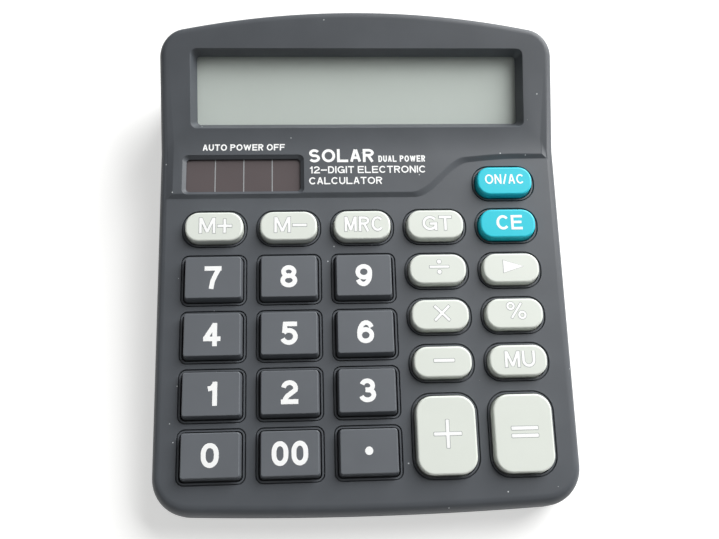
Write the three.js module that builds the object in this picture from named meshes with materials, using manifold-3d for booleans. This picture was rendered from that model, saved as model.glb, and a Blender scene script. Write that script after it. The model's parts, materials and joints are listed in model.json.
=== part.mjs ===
// A desk calculator: wedge-shaped case with a tilted display, 26 sprung keys, a solar cell and a battery.
// Millimetres. X runs to the right, Y from the front edge to the display, Z up. The origin is on the
// table, under the middle of the case.

import * as THREE from "three";
import { mergeVertices } from "three/addons/utils/BufferGeometryUtils.js";
import Module from "manifold-3d";

const wasm = await Module();
wasm.setup();

// ---------------------------------------------------------------------------------------------------
// Driving dimensions
// ---------------------------------------------------------------------------------------------------

const degree = Math.PI / 180;

// Attitude of the two top faces.
const keyboardTilt = 5 * degree;
const displayTilt = 18 * degree;

// Key grid, measured on the keyboard face. Rows run from the front row to the back.
const columnPitch = 22;
const columnCount = 5;
const digitRowPitch = 16.83;
const functionRowPitch = 13.8;
const frontMargin = 9.1;
const tallToFunctionGap = 2.7;
const digitToMemoryGap = 2.35;
const memoryToPowerGap = 2.25;
const sideMargin = 7.45;

// Key wells: the outline of each shallow recess, its corner radius and the arc steps of a corner.
const digitWell = { width: 19.3, height: 15.4, radius: 2.3, steps: 2 };
const functionWell = { width: 19.4, height: 11.45, radius: 5.2, steps: 2 };
const tallWell = { width: 19.5, height: 24.35, radius: 6, steps: 2 };
const wellLedge = 0.67;
const wellDepth = 0.5;

// Key caps: height above the face, how far the top is drawn in from the sides and moved to the rear.
const digitCap = { rise: 2.4, drawIn: 0.45, rearShift: 0.4, edge: 0.45 };
const functionCap = { rise: 2.4, drawIn: 0.12, rearShift: 0.1, edge: 0.6 };
const tallCap = { rise: 2.4, drawIn: 0.12, rearShift: 0.1, edge: 0.6 };
const capFlange = 0.7;
const flangeThickness = 1;
const keyTravel = 1.5;

// Keypad stack.
const domeReserve = 0.7;
const domeFootRadius = 4.6;
const domeTopRadius = 3.2;
const domeWall = 0.7;
const domeRoof = 0.8;
const domeSides = 8;
const webThickness = 0.6;
const boardThickness = 1.2;
const boardRadius = 7;
const boardBackMargin = 3;
const boardToWall = 4.8;

// Case shell.
const wall = 2;
const topPlate = 2;
const floorThickness = 2.2;
const footLift = 1.6;
const partingHeight = 6.5;
const partingGap = 0.3;
const lipHeight = 1.4;
const lipThickness = 1.1;
const underBoardRoom = 0.9;
const topEdgeRadius = 2.4;
const bottomInset = 2.6;
const bottomEdgeRise = 2.6;
const sideTaper = 0.7;
const frontCornerRadius = 10.5;
const rearCornerRadius = 6;
const frontEdgeRadius = 1100;
const rearEdgeRadius = 295;
const cornerSteps = 4;
const edgeSteps = 6;

// Raised label panel behind the keys.
const panelRise = 0.8;
const panelSlope = 1.3;
const panelFrontGap = 3.7;
const panelBackRun = 6.5;
const panelBendInner = 29;
const panelBendOuter = 12;
const panelSteps = 6;

// Display section.
const panelDepth = 18.8;
const displayDepth = 40.8;
const bezelSideMargin = 9.45;
const bezelRearMargin = 12.3;
const bezelHeight = 24.7;
const bezelRadius = 2;
const bezelSlope = 1.7;
const bezelDepth = 2.9;
const bezelLip = 0.5;
const bezelWall = 1.4;
const windowThickness = 1;
const windowOverlap = 1.3;
const glassThickness = 1.8;
const frameThickness = 1.2;
const frameRim = 3;
const ribbonThickness = 0.3;
const ribbonWidth = 60;
const ribbonOverlap = 4;

// Solar cell.
const solarWidth = 36.7;
const solarHeight = 12.6;
const solarRadius = 1;
const solarSlope = 1.05;
const solarDepth = 0.85;
const solarLip = 0.35;
const solarOverlap = 0.9;
const solarThickness = 1.2;
const solarRearGap = 4.8;
const solarCollar = 1.2;

// Battery and its bay.
const batteryLength = 48.5;
const batteryRadius = 7.1;
const batteryNubLength = 1.4;
const batteryNubRadius = 2.7;
const springLength = 4.6;
const springTurns = 3;
const springWire = 0.4;
const springFootRadius = 2.6;
const springTopRadius = 1.8;
const contactThickness = 0.5;
const contactWidth = 9;
const bayWall = 1.6;
const bayWallHeight = 8.4;
const bayRearGap = 10;
const leadRoom = 1.1;

// Battery door.
const doorTongue = 0.9;
const doorTongueThickness = 0.8;
const doorGrip = { width: 16, height: 6, depth: 0.6 };

// Fasteners and feet.
const caseScrew = { headRadius: 1.9, headHeight: 1.3, crown: 0.5, shaftRadius: 0.9, shaftLength: 5 };
const screwEdge = 0.9;
const boardScrew = { headRadius: 1.5, headHeight: 0.9, crown: 0.4, shaftRadius: 0.7, shaftLength: 4.2 };
const pillarRadius = 3.1;
const pillarHead = 1.1;
const bossRadius = 2.2;
const postRadius = 1.8;
const screwSides = 12;
const roundSides = 16;
const footRadius = 4.7;
const footSeat = 0.6;
const footChamfer = 0.4;
const footInset = 13;

// Electronics under the board.
const controllerRadius = 7;
const controllerHeight = 1.5;
const capacitorRadius = 2.5;
const capacitorLength = 7;
const leadRadius = 0.6;
const leadSides = 8;
const leadSteps = 14;
const batteryLeadLanding = 17.6;
const batteryLeadMargin = 12;
const batteryLeadReach = 6.4;
const batteryLeadSag = 2.5;
const batteryLeadDip = 3.6;
const batteryLeadBend = 3;
const solarLeadInset = 4;
const solarLeadShift = 4;
const solarLeadBend = 1;

// Clearances.
const gap = 0.3;
const overrun = 5;

// ---------------------------------------------------------------------------------------------------
// Sizes that follow from the driving ones
// ---------------------------------------------------------------------------------------------------

const columns = [...Array(columnCount).keys()].map((i) => (i - (columnCount - 1) / 2) * columnPitch);

const frontRow = frontMargin + digitWell.height / 2;
const digitRows = [0, 1, 2, 3].map((i) => frontRow + i * digitRowPitch);
const tallRow = frontMargin - gap + tallWell.height / 2;
const firstFunctionRow = tallRow + tallWell.height / 2 + tallToFunctionGap + functionWell.height / 2;
const functionRows = [0, 1, 2].map((i) => firstFunctionRow + i * functionRowPitch);
const memoryRow = digitRows[3] + digitWell.height / 2 + digitToMemoryGap + functionWell.height / 2;
const powerRow = memoryRow + functionWell.height + memoryToPowerGap;
const keypadBack = powerRow + functionWell.height / 2;
const panelFront = memoryRow + functionWell.height / 2 + panelFrontGap;
const keyboardDepth = panelFront + panelDepth;

const halfWidth = columns[columnCount - 1] + digitWell.width / 2 + sideMargin;
const caseDepth = keyboardDepth * Math.cos(keyboardTilt) + displayDepth * Math.cos(displayTilt);
const frontY = -caseDepth / 2;
const rearY = caseDepth / 2;

// Depths below the keyboard face.
const flangeTop = topPlate + gap;
const flangeBottom = flangeTop + flangeThickness;
const domeTop = flangeBottom + gap;
const webTop = domeTop + keyTravel + domeReserve;
const webBottom = webTop + webThickness;
const boardTop = webBottom + gap;
const boardBottom = boardTop + boardThickness;

const caseBottom = footLift;
const floorTop = caseBottom + floorThickness;
const boardFrontV = wall + boardToWall / 2;

// The display face starts where the raised panel ends.
const creaseY = frontY + keyboardDepth * Math.cos(keyboardTilt) - panelRise * Math.sin(keyboardTilt);
const creaseRise = keyboardDepth * Math.sin(keyboardTilt) + panelRise * Math.cos(keyboardTilt);

// Depths below the display face.
const windowTop = bezelDepth + bezelLip + gap;
const windowBottom = windowTop + windowThickness;
const glassTop = windowBottom + gap;
const glassBottom = glassTop + glassThickness;
const frameTop = glassBottom + gap;
const frameBottom = frameTop + frameThickness;
const bezelWidth = 2 * (halfWidth - bezelSideMargin);
const bezelCentre = displayDepth - bezelRearMargin - bezelHeight / 2;
const openingWidth = bezelWidth - 2 * bezelSlope;
const openingHeight = bezelHeight - 2 * bezelSlope;
const windowWidth = openingWidth + 2 * windowOverlap;
const windowHeight = openingHeight + 2 * windowOverlap;
const blockWidth = windowWidth + 2 * (gap + bezelWall);
const blockHeight = windowHeight + 2 * (gap + bezelWall);

// Depths below the raised panel, and the solar cell's place on it.
const solarX = columns[0] - digitWell.width / 2 + solarWidth / 2 - gap;
const solarV = keyboardDepth - solarRearGap - solarHeight / 2;
const cellTop = solarDepth + solarLip + gap;
const cellBottom = cellTop + solarThickness;
const cellWidth = solarWidth - 2 * solarSlope + 2 * solarOverlap;
const cellHeight = solarHeight - 2 * solarSlope + 2 * solarOverlap;

// Parting faces and screw depths.
const upperBottom = partingHeight + partingGap / 2;
const lowerTop = partingHeight - partingGap / 2;
const counterboreTop = lowerTop - pillarHead;
const shaftTip = counterboreTop - gap + caseScrew.shaftLength;
const boardShaftTip = boardScrew.shaftLength - boardBottom - gap;

// Battery bay.
const doorTop = floorTop - gap;
const batteryZ = doorTop + gap + batteryRadius;
const batteryY = rearY - bayRearGap - bayWall - gap - batteryRadius;
const bayHalf = (batteryLength + batteryNubLength + springLength + 2 * contactThickness + 4 * gap) / 2;
const batteryX = (springLength - batteryNubLength) / 2;
const contactBottom = floorTop + gap;
const contactTop = batteryZ + springFootRadius + springWire + gap;
const bayFront = batteryY - batteryRadius - gap;
const bayRear = batteryY + batteryRadius + gap;

// The front edge is high enough for the board over the floor, and for the display over the battery.
const boardNeed =
  floorTop + underBoardRoom + boardBottom * Math.cos(keyboardTilt) - boardFrontV * Math.sin(keyboardTilt);
const displayStack = (frameBottom + batteryRadius + leadRoom) / Math.cos(displayTilt);
const batteryNeed = batteryZ + displayStack - (batteryY - creaseY) * Math.tan(displayTilt) - creaseRise;
const frontHeight = Math.max(boardNeed, batteryNeed);
const creaseZ = frontHeight + creaseRise;

// ---------------------------------------------------------------------------------------------------
// Geometry helpers
// ---------------------------------------------------------------------------------------------------

const keyboardFrame = new THREE.Matrix4()
  .makeTranslation(0, frontY, frontHeight)
  .multiply(new THREE.Matrix4().makeRotationX(keyboardTilt));

const displayFrame = new THREE.Matrix4()
  .makeTranslation(0, creaseY, creaseZ)
  .multiply(new THREE.Matrix4().makeRotationX(displayTilt));

// Height of the keyboard and display faces at a distance y, sunk by a depth along each face's normal.
function keyboardHeight(y, depth) {
  return frontHeight + (y - frontY) * Math.tan(keyboardTilt) - depth / Math.cos(keyboardTilt);
}

function displayHeight(y, depth) {
  return creaseZ + (y - creaseY) * Math.tan(displayTilt) - depth / Math.cos(displayTilt);
}

// Where the two faces meet when both are sunk by the same depth.
function breakLine(depth) {
  const difference = keyboardHeight(creaseY, depth) - displayHeight(creaseY, depth);
  return creaseY + difference / (Math.tan(displayTilt) - Math.tan(keyboardTilt));
}

function faceHeight(y, depth) {
  return Math.max(keyboardHeight(y, depth), displayHeight(y, depth));
}

function arcPoints(centreX, centreY, radius, start, end, steps) {
  const points = [];
  for (let i = 0; i <= steps; i += 1) {
    const angle = start + ((end - start) * i) / steps;
    points.push(new THREE.Vector2(centreX + radius * Math.cos(angle), centreY + radius * Math.sin(angle)));
  }
  return points;
}

// Counter-clockwise outline of a rectangle with round corners, centred on the origin.
function roundedRectangle(width, height, radius, steps) {
  const r = Math.max(Math.min(radius, width / 2 - 0.05, height / 2 - 0.05), 0.1);
  const x = width / 2 - r;
  const y = height / 2 - r;
  return [
    ...arcPoints(x, -y, r, -Math.PI / 2, 0, steps),
    ...arcPoints(x, y, r, 0, Math.PI / 2, steps),
    ...arcPoints(-x, y, r, Math.PI / 2, Math.PI, steps),
    ...arcPoints(-x, -y, r, Math.PI, 1.5 * Math.PI, steps),
  ];
}

function circle(radius, sides) {
  return arcPoints(0, 0, radius, 0, 2 * Math.PI * (1 - 1 / sides), sides - 1);
}

function ringAt(outline, z, x = 0, y = 0) {
  return outline.map((point) => new THREE.Vector3(point.x + x, point.y + y, z));
}

// Closed body through a stack of rings with equal point counts. A cap that folds is given in parts.
function loft(rings, topParts) {
  const count = rings[0].length;
  const positions = rings.flat().flatMap((point) => [point.x, point.y, point.z]);
  const index = [];
  for (let level = 0; level < rings.length - 1; level += 1) {
    for (let i = 0; i < count; i += 1) {
      const a = level * count + i;
      const b = level * count + ((i + 1) % count);
      index.push(a, b, b + count, a, b + count, a + count);
    }
  }
  const whole = rings[0].map((point, i) => i);
  const addCap = (ring, members, base, upward) => {
    const flat = members.map((i) => new THREE.Vector2(ring[i].x, ring[i].y));
    for (const [a, b, c] of THREE.ShapeUtils.triangulateShape(flat, [])) {
      const triangle = [base + members[a], base + members[b], base + members[c]];
      index.push(...(upward ? triangle : triangle.reverse()));
    }
  };
  addCap(rings[0], whole, 0, false);
  for (const part of topParts ?? [whole]) {
    addCap(rings.at(-1), part, (rings.length - 1) * count, true);
  }
  const geometry = new THREE.BufferGeometry();
  geometry.setAttribute("position", new THREE.Float32BufferAttribute(positions, 3));
  geometry.setIndex(index);
  return geometry;
}

function prism(outline, bottom, top, x = 0, y = 0) {
  return loft([ringAt(outline, bottom, x, y), ringAt(outline, top, x, y)]);
}

function box(x0, x1, y0, y1, z0, z1) {
  const geometry = new THREE.BoxGeometry(x1 - x0, y1 - y0, z1 - z0);
  return geometry.translate((x0 + x1) / 2, (y0 + y1) / 2, (z0 + z1) / 2);
}

// A turned body standing on Z, from a profile of radius and height pairs.
function turned(profile, sides) {
  const points = profile.map(([radius, height]) => new THREE.Vector2(radius, height));
  return new THREE.LatheGeometry(points, sides).rotateX(Math.PI / 2);
}

// Only position, with shared corners merged and collapsed triangles dropped.
function welded(geometry) {
  const bare = geometry.clone();
  bare.deleteAttribute("normal");
  bare.deleteAttribute("uv");
  const merged = mergeVertices(bare, 1e-4);
  const kept = [];
  const corners = merged.index.array;
  for (let i = 0; i < corners.length; i += 3) {
    const [a, b, c] = [corners[i], corners[i + 1], corners[i + 2]];
    if (a !== b && b !== c && c !== a) {
      kept.push(a, b, c);
    }
  }
  merged.setIndex(kept);
  return merged;
}

function solidOf(geometry) {
  const merged = welded(geometry);
  return new wasm.Manifold(
    new wasm.Mesh({
      numProp: 3,
      vertProperties: Float32Array.from(merged.attributes.position.array),
      triVerts: Uint32Array.from(merged.index.array),
    }),
  );
}

function geometryOf(solid) {
  const mesh = solid.getMesh();
  const geometry = new THREE.BufferGeometry();
  geometry.setAttribute("position", new THREE.Float32BufferAttribute(mesh.vertProperties, 3));
  geometry.setIndex(Array.from(mesh.triVerts));
  return geometry;
}

function joined(solids) {
  return solids.reduce((whole, solid) => whole.add(solid));
}

function cutBy(solid, tools) {
  return tools.reduce((left, tool) => left.subtract(tool), solid);
}

function onKeyboard(geometry) {
  return solidOf(geometry.clone().applyMatrix4(keyboardFrame));
}

function onDisplay(geometry) {
  return solidOf(geometry.clone().applyMatrix4(displayFrame));
}

// ---------------------------------------------------------------------------------------------------
// Materials
// ---------------------------------------------------------------------------------------------------

function material(color, roughness, metalness = 0) {
  return new THREE.MeshStandardMaterial({ color, roughness, metalness, flatShading: true });
}

const caseGrey = material(0x6e7277, 0.6);
const digitKeyGrey = material(0x3f4247, 0.35);
const lightKeyGrey = material(0xd9ddd5, 0.5);
const cyanKey = material(0x35b9cc, 0.45);
const clearWindow = material(0xdfe4e2, 0.1);
const displayGlass = material(0xb9c1bd, 0.3);
const cellBrown = material(0x5a4a4a, 0.25);
const silicone = material(0xb9b6ae, 0.8);
const boardGreen = material(0x2d6b45, 0.6);
const epoxyBlack = material(0x17181a, 0.4);
const ribbonAmber = material(0xb98a3f, 0.5);
const batterySleeve = material(0x2c4f8c, 0.4);
const springSteel = material(0xb9bcc0, 0.3, 1);
const screwSteel = material(0x9a9da1, 0.35, 1);
const rubberBlack = material(0x1d1d1f, 0.9);
const leadRed = material(0xb02a25, 0.6);
const leadBlack = material(0x1b1b1d, 0.6);

const keyboardGroup = new THREE.Group();
keyboardGroup.applyMatrix4(keyboardFrame);
const displayGroup = new THREE.Group();
displayGroup.applyMatrix4(displayFrame);
const calculator = new THREE.Group();
calculator.add(keyboardGroup, displayGroup);

function addMesh(name, geometry, finish, group = calculator) {
  const mesh = new THREE.Mesh(geometry, finish);
  mesh.name = name;
  group.add(mesh);
  return mesh;
}

// ---------------------------------------------------------------------------------------------------
// Layout of the keys
// ---------------------------------------------------------------------------------------------------

const keys = [];

function layKeys(names, columnsUsed, row, well, cap, finish) {
  names.forEach((name, i) => {
    keys.push({ name: `key_${name}`, x: columns[columnsUsed[i]], v: row, well, cap, finish });
  });
}

layKeys(["0", "00", "point"], [0, 1, 2], digitRows[0], digitWell, digitCap, digitKeyGrey);
layKeys(["1", "2", "3"], [0, 1, 2], digitRows[1], digitWell, digitCap, digitKeyGrey);
layKeys(["4", "5", "6"], [0, 1, 2], digitRows[2], digitWell, digitCap, digitKeyGrey);
layKeys(["7", "8", "9"], [0, 1, 2], digitRows[3], digitWell, digitCap, digitKeyGrey);
layKeys(["add", "equals"], [3, 4], tallRow, tallWell, tallCap, lightKeyGrey);
layKeys(["subtract", "mark_up"], [3, 4], functionRows[0], functionWell, functionCap, lightKeyGrey);
layKeys(["multiply", "percent"], [3, 4], functionRows[1], functionWell, functionCap, lightKeyGrey);
layKeys(["divide", "backspace"], [3, 4], functionRows[2], functionWell, functionCap, lightKeyGrey);
layKeys(
  ["memory_add", "memory_subtract", "memory_recall", "grand_total"],
  [0, 1, 2, 3],
  memoryRow,
  functionWell,
  functionCap,
  lightKeyGrey,
);
layKeys(["clear_entry"], [4], memoryRow, functionWell, functionCap, cyanKey);
layKeys(["on_all_clear"], [4], powerRow, functionWell, functionCap, cyanKey);

function shrunk(well, amount) {
  return roundedRectangle(well.width - 2 * amount, well.height - 2 * amount, well.radius - amount, well.steps);
}

// ---------------------------------------------------------------------------------------------------
// Keys
// ---------------------------------------------------------------------------------------------------

// A cap with a flange below the top plate, a straight neck in the well and a drawn-in top.
function keyGeometry({ x, v, well, cap }) {
  const neck = shrunk(well, wellLedge + gap);
  const flange = shrunk(well, wellLedge + gap - capFlange - gap);
  const shoulder = shrunk(well, wellLedge + gap + cap.drawIn * (1 - cap.edge / cap.rise));
  const top = shrunk(well, wellLedge + gap + cap.drawIn + cap.edge / 2);
  return loft([
    ringAt(flange, -flangeBottom, x, v),
    ringAt(flange, -flangeTop, x, v),
    ringAt(neck, -flangeTop, x, v),
    ringAt(neck, -wellDepth, x, v),
    ringAt(shoulder, cap.rise - cap.edge, x, v + cap.rearShift),
    ringAt(top, cap.rise, x, v + cap.rearShift),
  ]);
}

for (const key of keys) {
  addMesh(key.name, keyGeometry(key), key.finish, keyboardGroup);
}

// ---------------------------------------------------------------------------------------------------
// Screw places
// ---------------------------------------------------------------------------------------------------

const screwInset = bottomInset + screwEdge + caseScrew.headRadius + gap;
const bossX = halfWidth - screwInset;
const leftBossY = frontY + ((digitRows[2] + digitRows[3]) / 2) * Math.cos(keyboardTilt);
const rightBossY = frontY + ((functionRows[1] + functionRows[2]) / 2) * Math.cos(keyboardTilt);
const frontBossX = (columns[3] + columns[4]) / 2;
const rearBossX = halfWidth - rearCornerRadius;
const rearCornerReach = Math.sqrt((rearEdgeRadius - rearCornerRadius) ** 2 - rearBossX ** 2);
const rearBossY = rearY - rearEdgeRadius + rearCornerReach;
const caseScrewPlaces = [
  { name: "front_left", x: -frontBossX, y: frontY + screwInset },
  { name: "front_right", x: frontBossX, y: frontY + screwInset },
  { name: "middle_left", x: -bossX, y: leftBossY },
  { name: "middle_right", x: bossX, y: rightBossY },
  { name: "rear_left", x: -rearBossX, y: rearBossY },
  { name: "rear_right", x: rearBossX, y: rearBossY },
];

const postColumns = [(columns[0] + columns[1]) / 2, (columns[3] + columns[4]) / 2];
const frontPostV = functionRows[0] - functionWell.height / 2 - tallToFunctionGap / 2;
const boardScrewPlaces = [
  { name: "front_left", x: postColumns[0], v: (digitRows[0] + digitRows[1]) / 2 },
  { name: "back_left", x: postColumns[0], v: (digitRows[2] + digitRows[3]) / 2 },
  { name: "front_right", x: postColumns[1], v: frontPostV },
  { name: "back_right", x: postColumns[1], v: (functionRows[1] + functionRows[2]) / 2 },
];

// ---------------------------------------------------------------------------------------------------
// Case outlines
// ---------------------------------------------------------------------------------------------------

// Plan of the case, drawn in by an inset, with a corner on each side where the top faces meet.
function casePlan(inset, breakY) {
  const sideAt = (y) => halfWidth - (sideTaper * (rearY - y)) / caseDepth;
  const plan = (endRadius, cornerRadius, endY, direction) => {
    const centreX = sideAt(endY) - cornerRadius;
    const endCentre = endY - direction * endRadius;
    const reach = Math.sqrt((endRadius - cornerRadius) ** 2 - centreX ** 2);
    return { centreX, centreY: endCentre + direction * reach, endCentre, angle: Math.atan2(reach, centreX) };
  };
  const rear = plan(rearEdgeRadius, rearCornerRadius, rearY, 1);
  const front = plan(frontEdgeRadius, frontCornerRadius, frontY, -1);
  const rearCorner = rearCornerRadius - inset;
  const frontCorner = frontCornerRadius - inset;
  const right = Math.PI;
  const rearEdge = rearEdgeRadius - inset;
  const points = [
    ...arcPoints(front.centreX, front.centreY, frontCorner, -front.angle, 0, cornerSteps),
    new THREE.Vector2(sideAt(breakY) - inset, breakY),
    ...arcPoints(rear.centreX, rear.centreY, rearCorner, 0, rear.angle, cornerSteps),
    ...arcPoints(0, rear.endCentre, rearEdge, rear.angle, right - rear.angle, edgeSteps).slice(1, -1),
    ...arcPoints(-rear.centreX, rear.centreY, rearCorner, right - rear.angle, right, cornerSteps),
    new THREE.Vector2(inset - sideAt(breakY), breakY),
    ...arcPoints(-front.centreX, front.centreY, frontCorner, right, right + front.angle, cornerSteps),
  ];
  const frontArc = arcPoints(
    0,
    front.endCentre,
    frontEdgeRadius - inset,
    right + front.angle,
    2 * right - front.angle,
    edgeSteps,
  );
  return [...points, ...frontArc.slice(1, -1)];
}

function levelRing(inset, z) {
  return ringAt(casePlan(inset, breakLine(0)), z);
}

function faceRing(inset, depth) {
  return casePlan(inset, breakLine(depth)).map(
    (point) => new THREE.Vector3(point.x, point.y, faceHeight(point.y, depth)),
  );
}

// The folded top of a case body, in front of and behind the line where the faces meet.
function foldParts(ring) {
  const corner = cornerSteps + 1;
  const rightBreak = corner;
  const leftBreak = rightBreak + 2 * corner + edgeSteps;
  const members = ring.map((point, i) => i);
  return [
    members.filter((i) => i <= rightBreak || i >= leftBreak),
    members.filter((i) => i >= rightBreak && i <= leftBreak),
  ];
}

function foldedBody(rings) {
  return solidOf(loft(rings, foldParts(rings.at(-1))));
}

// ---------------------------------------------------------------------------------------------------
// Upper case
// ---------------------------------------------------------------------------------------------------

function topEdgeRings() {
  return [0, 30, 60, 90].map((angle) => {
    const inset = topEdgeRadius * (1 - Math.cos(angle * degree));
    const depth = topEdgeRadius * (1 - Math.sin(angle * degree));
    return faceRing(inset, depth);
  });
}

const upperOuter = foldedBody([levelRing(0, upperBottom), ...topEdgeRings()]);
const upperCavity = foldedBody([levelRing(wall, upperBottom - overrun), faceRing(wall, topPlate)]);

// The raised panel steps up behind the memory keys, and swings back past the power key.
function panelOutline(inset) {
  const half = halfWidth - sideTaper - topEdgeRadius - inset;
  const swing = [];
  for (let i = 0; i <= panelSteps; i += 1) {
    const t = i / panelSteps;
    const ease = t * t * (3 - 2 * t);
    const x = columns[4] - panelBendInner + t * (panelBendInner + columnPitch / 2 - panelBendOuter);
    swing.push(new THREE.Vector2(x - inset, panelFront + inset + ease * (panelDepth - panelBackRun)));
  }
  return [
    new THREE.Vector2(-half, panelFront + inset),
    ...swing,
    new THREE.Vector2(half, panelFront + inset + panelDepth - panelBackRun),
    new THREE.Vector2(half, keyboardDepth + panelRise),
    new THREE.Vector2(-half, keyboardDepth + panelRise),
  ];
}

function raisedPanel() {
  const outline = panelOutline(0);
  return onKeyboard(
    loft([ringAt(outline, -topPlate / 2), ringAt(outline, 0), ringAt(panelOutline(panelSlope), panelRise)]),
  );
}

function keyWellCuts() {
  return keys.map(({ x, v, well }) => {
    const hole = shrunk(well, wellLedge);
    const recess = shrunk(well, 0);
    const rings = [
      ringAt(hole, -flangeTop, x, v),
      ringAt(hole, -wellDepth, x, v),
      ringAt(recess, -wellDepth, x, v),
      ringAt(recess, overrun, x, v),
    ];
    return onKeyboard(loft(rings));
  });
}

function displayBlock() {
  const outline = roundedRectangle(blockWidth, blockHeight, bezelRadius, 2);
  return onDisplay(prism(outline, -glassBottom, -topPlate / 2, 0, bezelCentre));
}

// A straight lip under a sloped funnel.
function funnel(throat, mouth, bottom, lip, top, x, y) {
  return loft([
    ringAt(throat, bottom, x, y),
    ringAt(throat, lip, x, y),
    ringAt(mouth, top, x, y),
    ringAt(mouth, top + overrun, x, y),
  ]);
}

// The funnel to the window, and the pocket for the window and the glass from below.
function displayCuts() {
  const mouth = roundedRectangle(bezelWidth, bezelHeight, bezelRadius, 2);
  const throat = roundedRectangle(openingWidth, openingHeight, bezelRadius - gap, 2);
  const pocket = roundedRectangle(windowWidth + 2 * gap, windowHeight + 2 * gap, bezelRadius, 2);
  return [
    onDisplay(funnel(throat, mouth, -windowTop, -bezelDepth, 0, 0, bezelCentre)),
    onDisplay(prism(pocket, -glassBottom - overrun, -windowTop + gap, 0, bezelCentre)),
  ];
}

function solarPrism(extra, bottom, top) {
  const outline = roundedRectangle(solarWidth + 2 * extra, solarHeight + 2 * extra, solarRadius, 1);
  return onKeyboard(prism(outline, panelRise + bottom, panelRise + top, solarX, solarV));
}

function solarBlock() {
  const reach = solarOverlap - solarSlope + gap + solarCollar;
  return solarPrism(reach, -cellBottom, -solarDepth);
}

function solarCuts() {
  const mouth = roundedRectangle(solarWidth, solarHeight, solarRadius, 1);
  const throat = roundedRectangle(solarWidth - 2 * solarSlope, solarHeight - 2 * solarSlope, solarRadius, 1);
  const bottom = panelRise - cellTop;
  return [
    onKeyboard(funnel(throat, mouth, bottom, panelRise - solarDepth, panelRise, solarX, solarV)),
    solarPrism(solarOverlap - solarSlope + gap, -cellBottom - overrun, -cellTop + gap),
  ];
}

function caseBosses() {
  return caseScrewPlaces.map(({ x, y }) =>
    solidOf(prism(circle(bossRadius, screwSides), upperBottom, faceHeight(y, topPlate / 2), x, y)),
  );
}

function boardPosts() {
  return boardScrewPlaces.map(({ x, v }) =>
    onKeyboard(prism(circle(postRadius, screwSides), -webBottom, -topPlate / 2, x, v)),
  );
}

// Blind holes for the screws, a little wider and deeper than their shafts.
function pilotCuts() {
  const caseHole = circle(caseScrew.shaftRadius + gap, screwSides);
  const boardHole = circle(boardScrew.shaftRadius + gap, screwSides);
  return [
    ...caseScrewPlaces.map(({ x, y }) => solidOf(prism(caseHole, upperBottom - overrun, shaftTip + gap, x, y))),
    ...boardScrewPlaces.map(({ x, v }) =>
      onKeyboard(prism(boardHole, -webBottom - overrun, boardShaftTip + gap, x, v)),
    ),
  ];
}

function upperCase() {
  const shell = upperOuter.add(raisedPanel()).subtract(upperCavity);
  const inner = joined([displayBlock(), solarBlock(), ...caseBosses(), ...boardPosts()]).intersect(upperOuter);
  return cutBy(shell.add(inner), [...keyWellCuts(), ...displayCuts(), ...solarCuts(), ...pilotCuts()]);
}

addMesh("upper_case", geometryOf(upperCase()), caseGrey);

// ---------------------------------------------------------------------------------------------------
// Lower case and battery door
// ---------------------------------------------------------------------------------------------------

function lowerOuter() {
  return solidOf(
    loft([
      ...[90, 60, 30, 0].map((angle) => {
        const inset = bottomInset * (1 - Math.cos(angle * degree));
        return levelRing(inset, caseBottom + bottomEdgeRise * (1 - Math.sin(angle * degree)));
      }),
      levelRing(0, lowerTop),
    ]),
  );
}

// A tongue that stands up inside the upper wall.
function locatingLip() {
  const outer = solidOf(prism(casePlan(wall + gap, 0), floorTop, upperBottom + lipHeight));
  const inner = solidOf(prism(casePlan(wall + gap + lipThickness, 0), floorTop - 1, upperBottom + overrun));
  const reliefs = caseScrewPlaces.map(({ x, y }) =>
    solidOf(prism(circle(bossRadius + gap, screwSides), lowerTop, upperBottom + overrun, x, y)),
  );
  return cutBy(outer.subtract(inner), reliefs);
}

function screwPillars() {
  return caseScrewPlaces.map(({ x, y }) =>
    solidOf(prism(circle(pillarRadius, screwSides), caseBottom, lowerTop, x, y)),
  );
}

function bayWalls() {
  const top = floorTop + bayWallHeight;
  const half = bayHalf + bayWall;
  return solidOf(box(-half, half, bayFront - bayWall, bayRear + bayWall, floorTop - gap, top));
}

function doorOpening(clearance) {
  return box(-bayHalf - clearance, bayHalf + clearance, bayFront - clearance, rearY + overrun, 0, floorTop + gap);
}

function doorGroove() {
  const reach = bayHalf + doorTongue;
  const middle = (caseBottom + doorTop) / 2;
  const half = doorTongueThickness / 2 + gap;
  return solidOf(box(-reach - gap, reach + gap, bayFront - gap, rearY + overrun, middle - half, middle + half));
}

const footPlaces = [
  { name: "front_left", x: -halfWidth + footInset, y: frontY + footInset },
  { name: "front_right", x: halfWidth - footInset, y: frontY + footInset },
  { name: "rear_left", x: -halfWidth + footInset, y: rearY - footInset - sideTaper },
  { name: "rear_right", x: halfWidth - footInset, y: rearY - footInset - sideTaper },
];

function lowerCase() {
  const outer = lowerOuter();
  const cavity = solidOf(prism(casePlan(wall, 0), floorTop, lowerTop + overrun));
  const pillars = joined(screwPillars()).intersect(outer);
  const body = joined([outer.subtract(cavity), pillars, bayWalls(), locatingLip()]);
  const bayCut = box(-bayHalf, bayHalf, bayFront, bayRear, 0, floorTop + bayWallHeight + overrun);
  const screwCuts = caseScrewPlaces.flatMap(({ x, y }) => [
    solidOf(prism(circle(caseScrew.headRadius + gap, screwSides), 0, counterboreTop, x, y)),
    solidOf(prism(circle(caseScrew.shaftRadius + gap, screwSides), 0, lowerTop + overrun, x, y)),
  ]);
  const footCuts = footPlaces.map(({ x, y }) =>
    solidOf(prism(circle(footRadius + gap, screwSides), 0, caseBottom + footSeat + gap, x, y)),
  );
  return cutBy(body, [solidOf(bayCut), solidOf(doorOpening(0)), doorGroove(), ...screwCuts, ...footCuts]);
}

addMesh("lower_case", geometryOf(lowerCase()), caseGrey);

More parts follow.
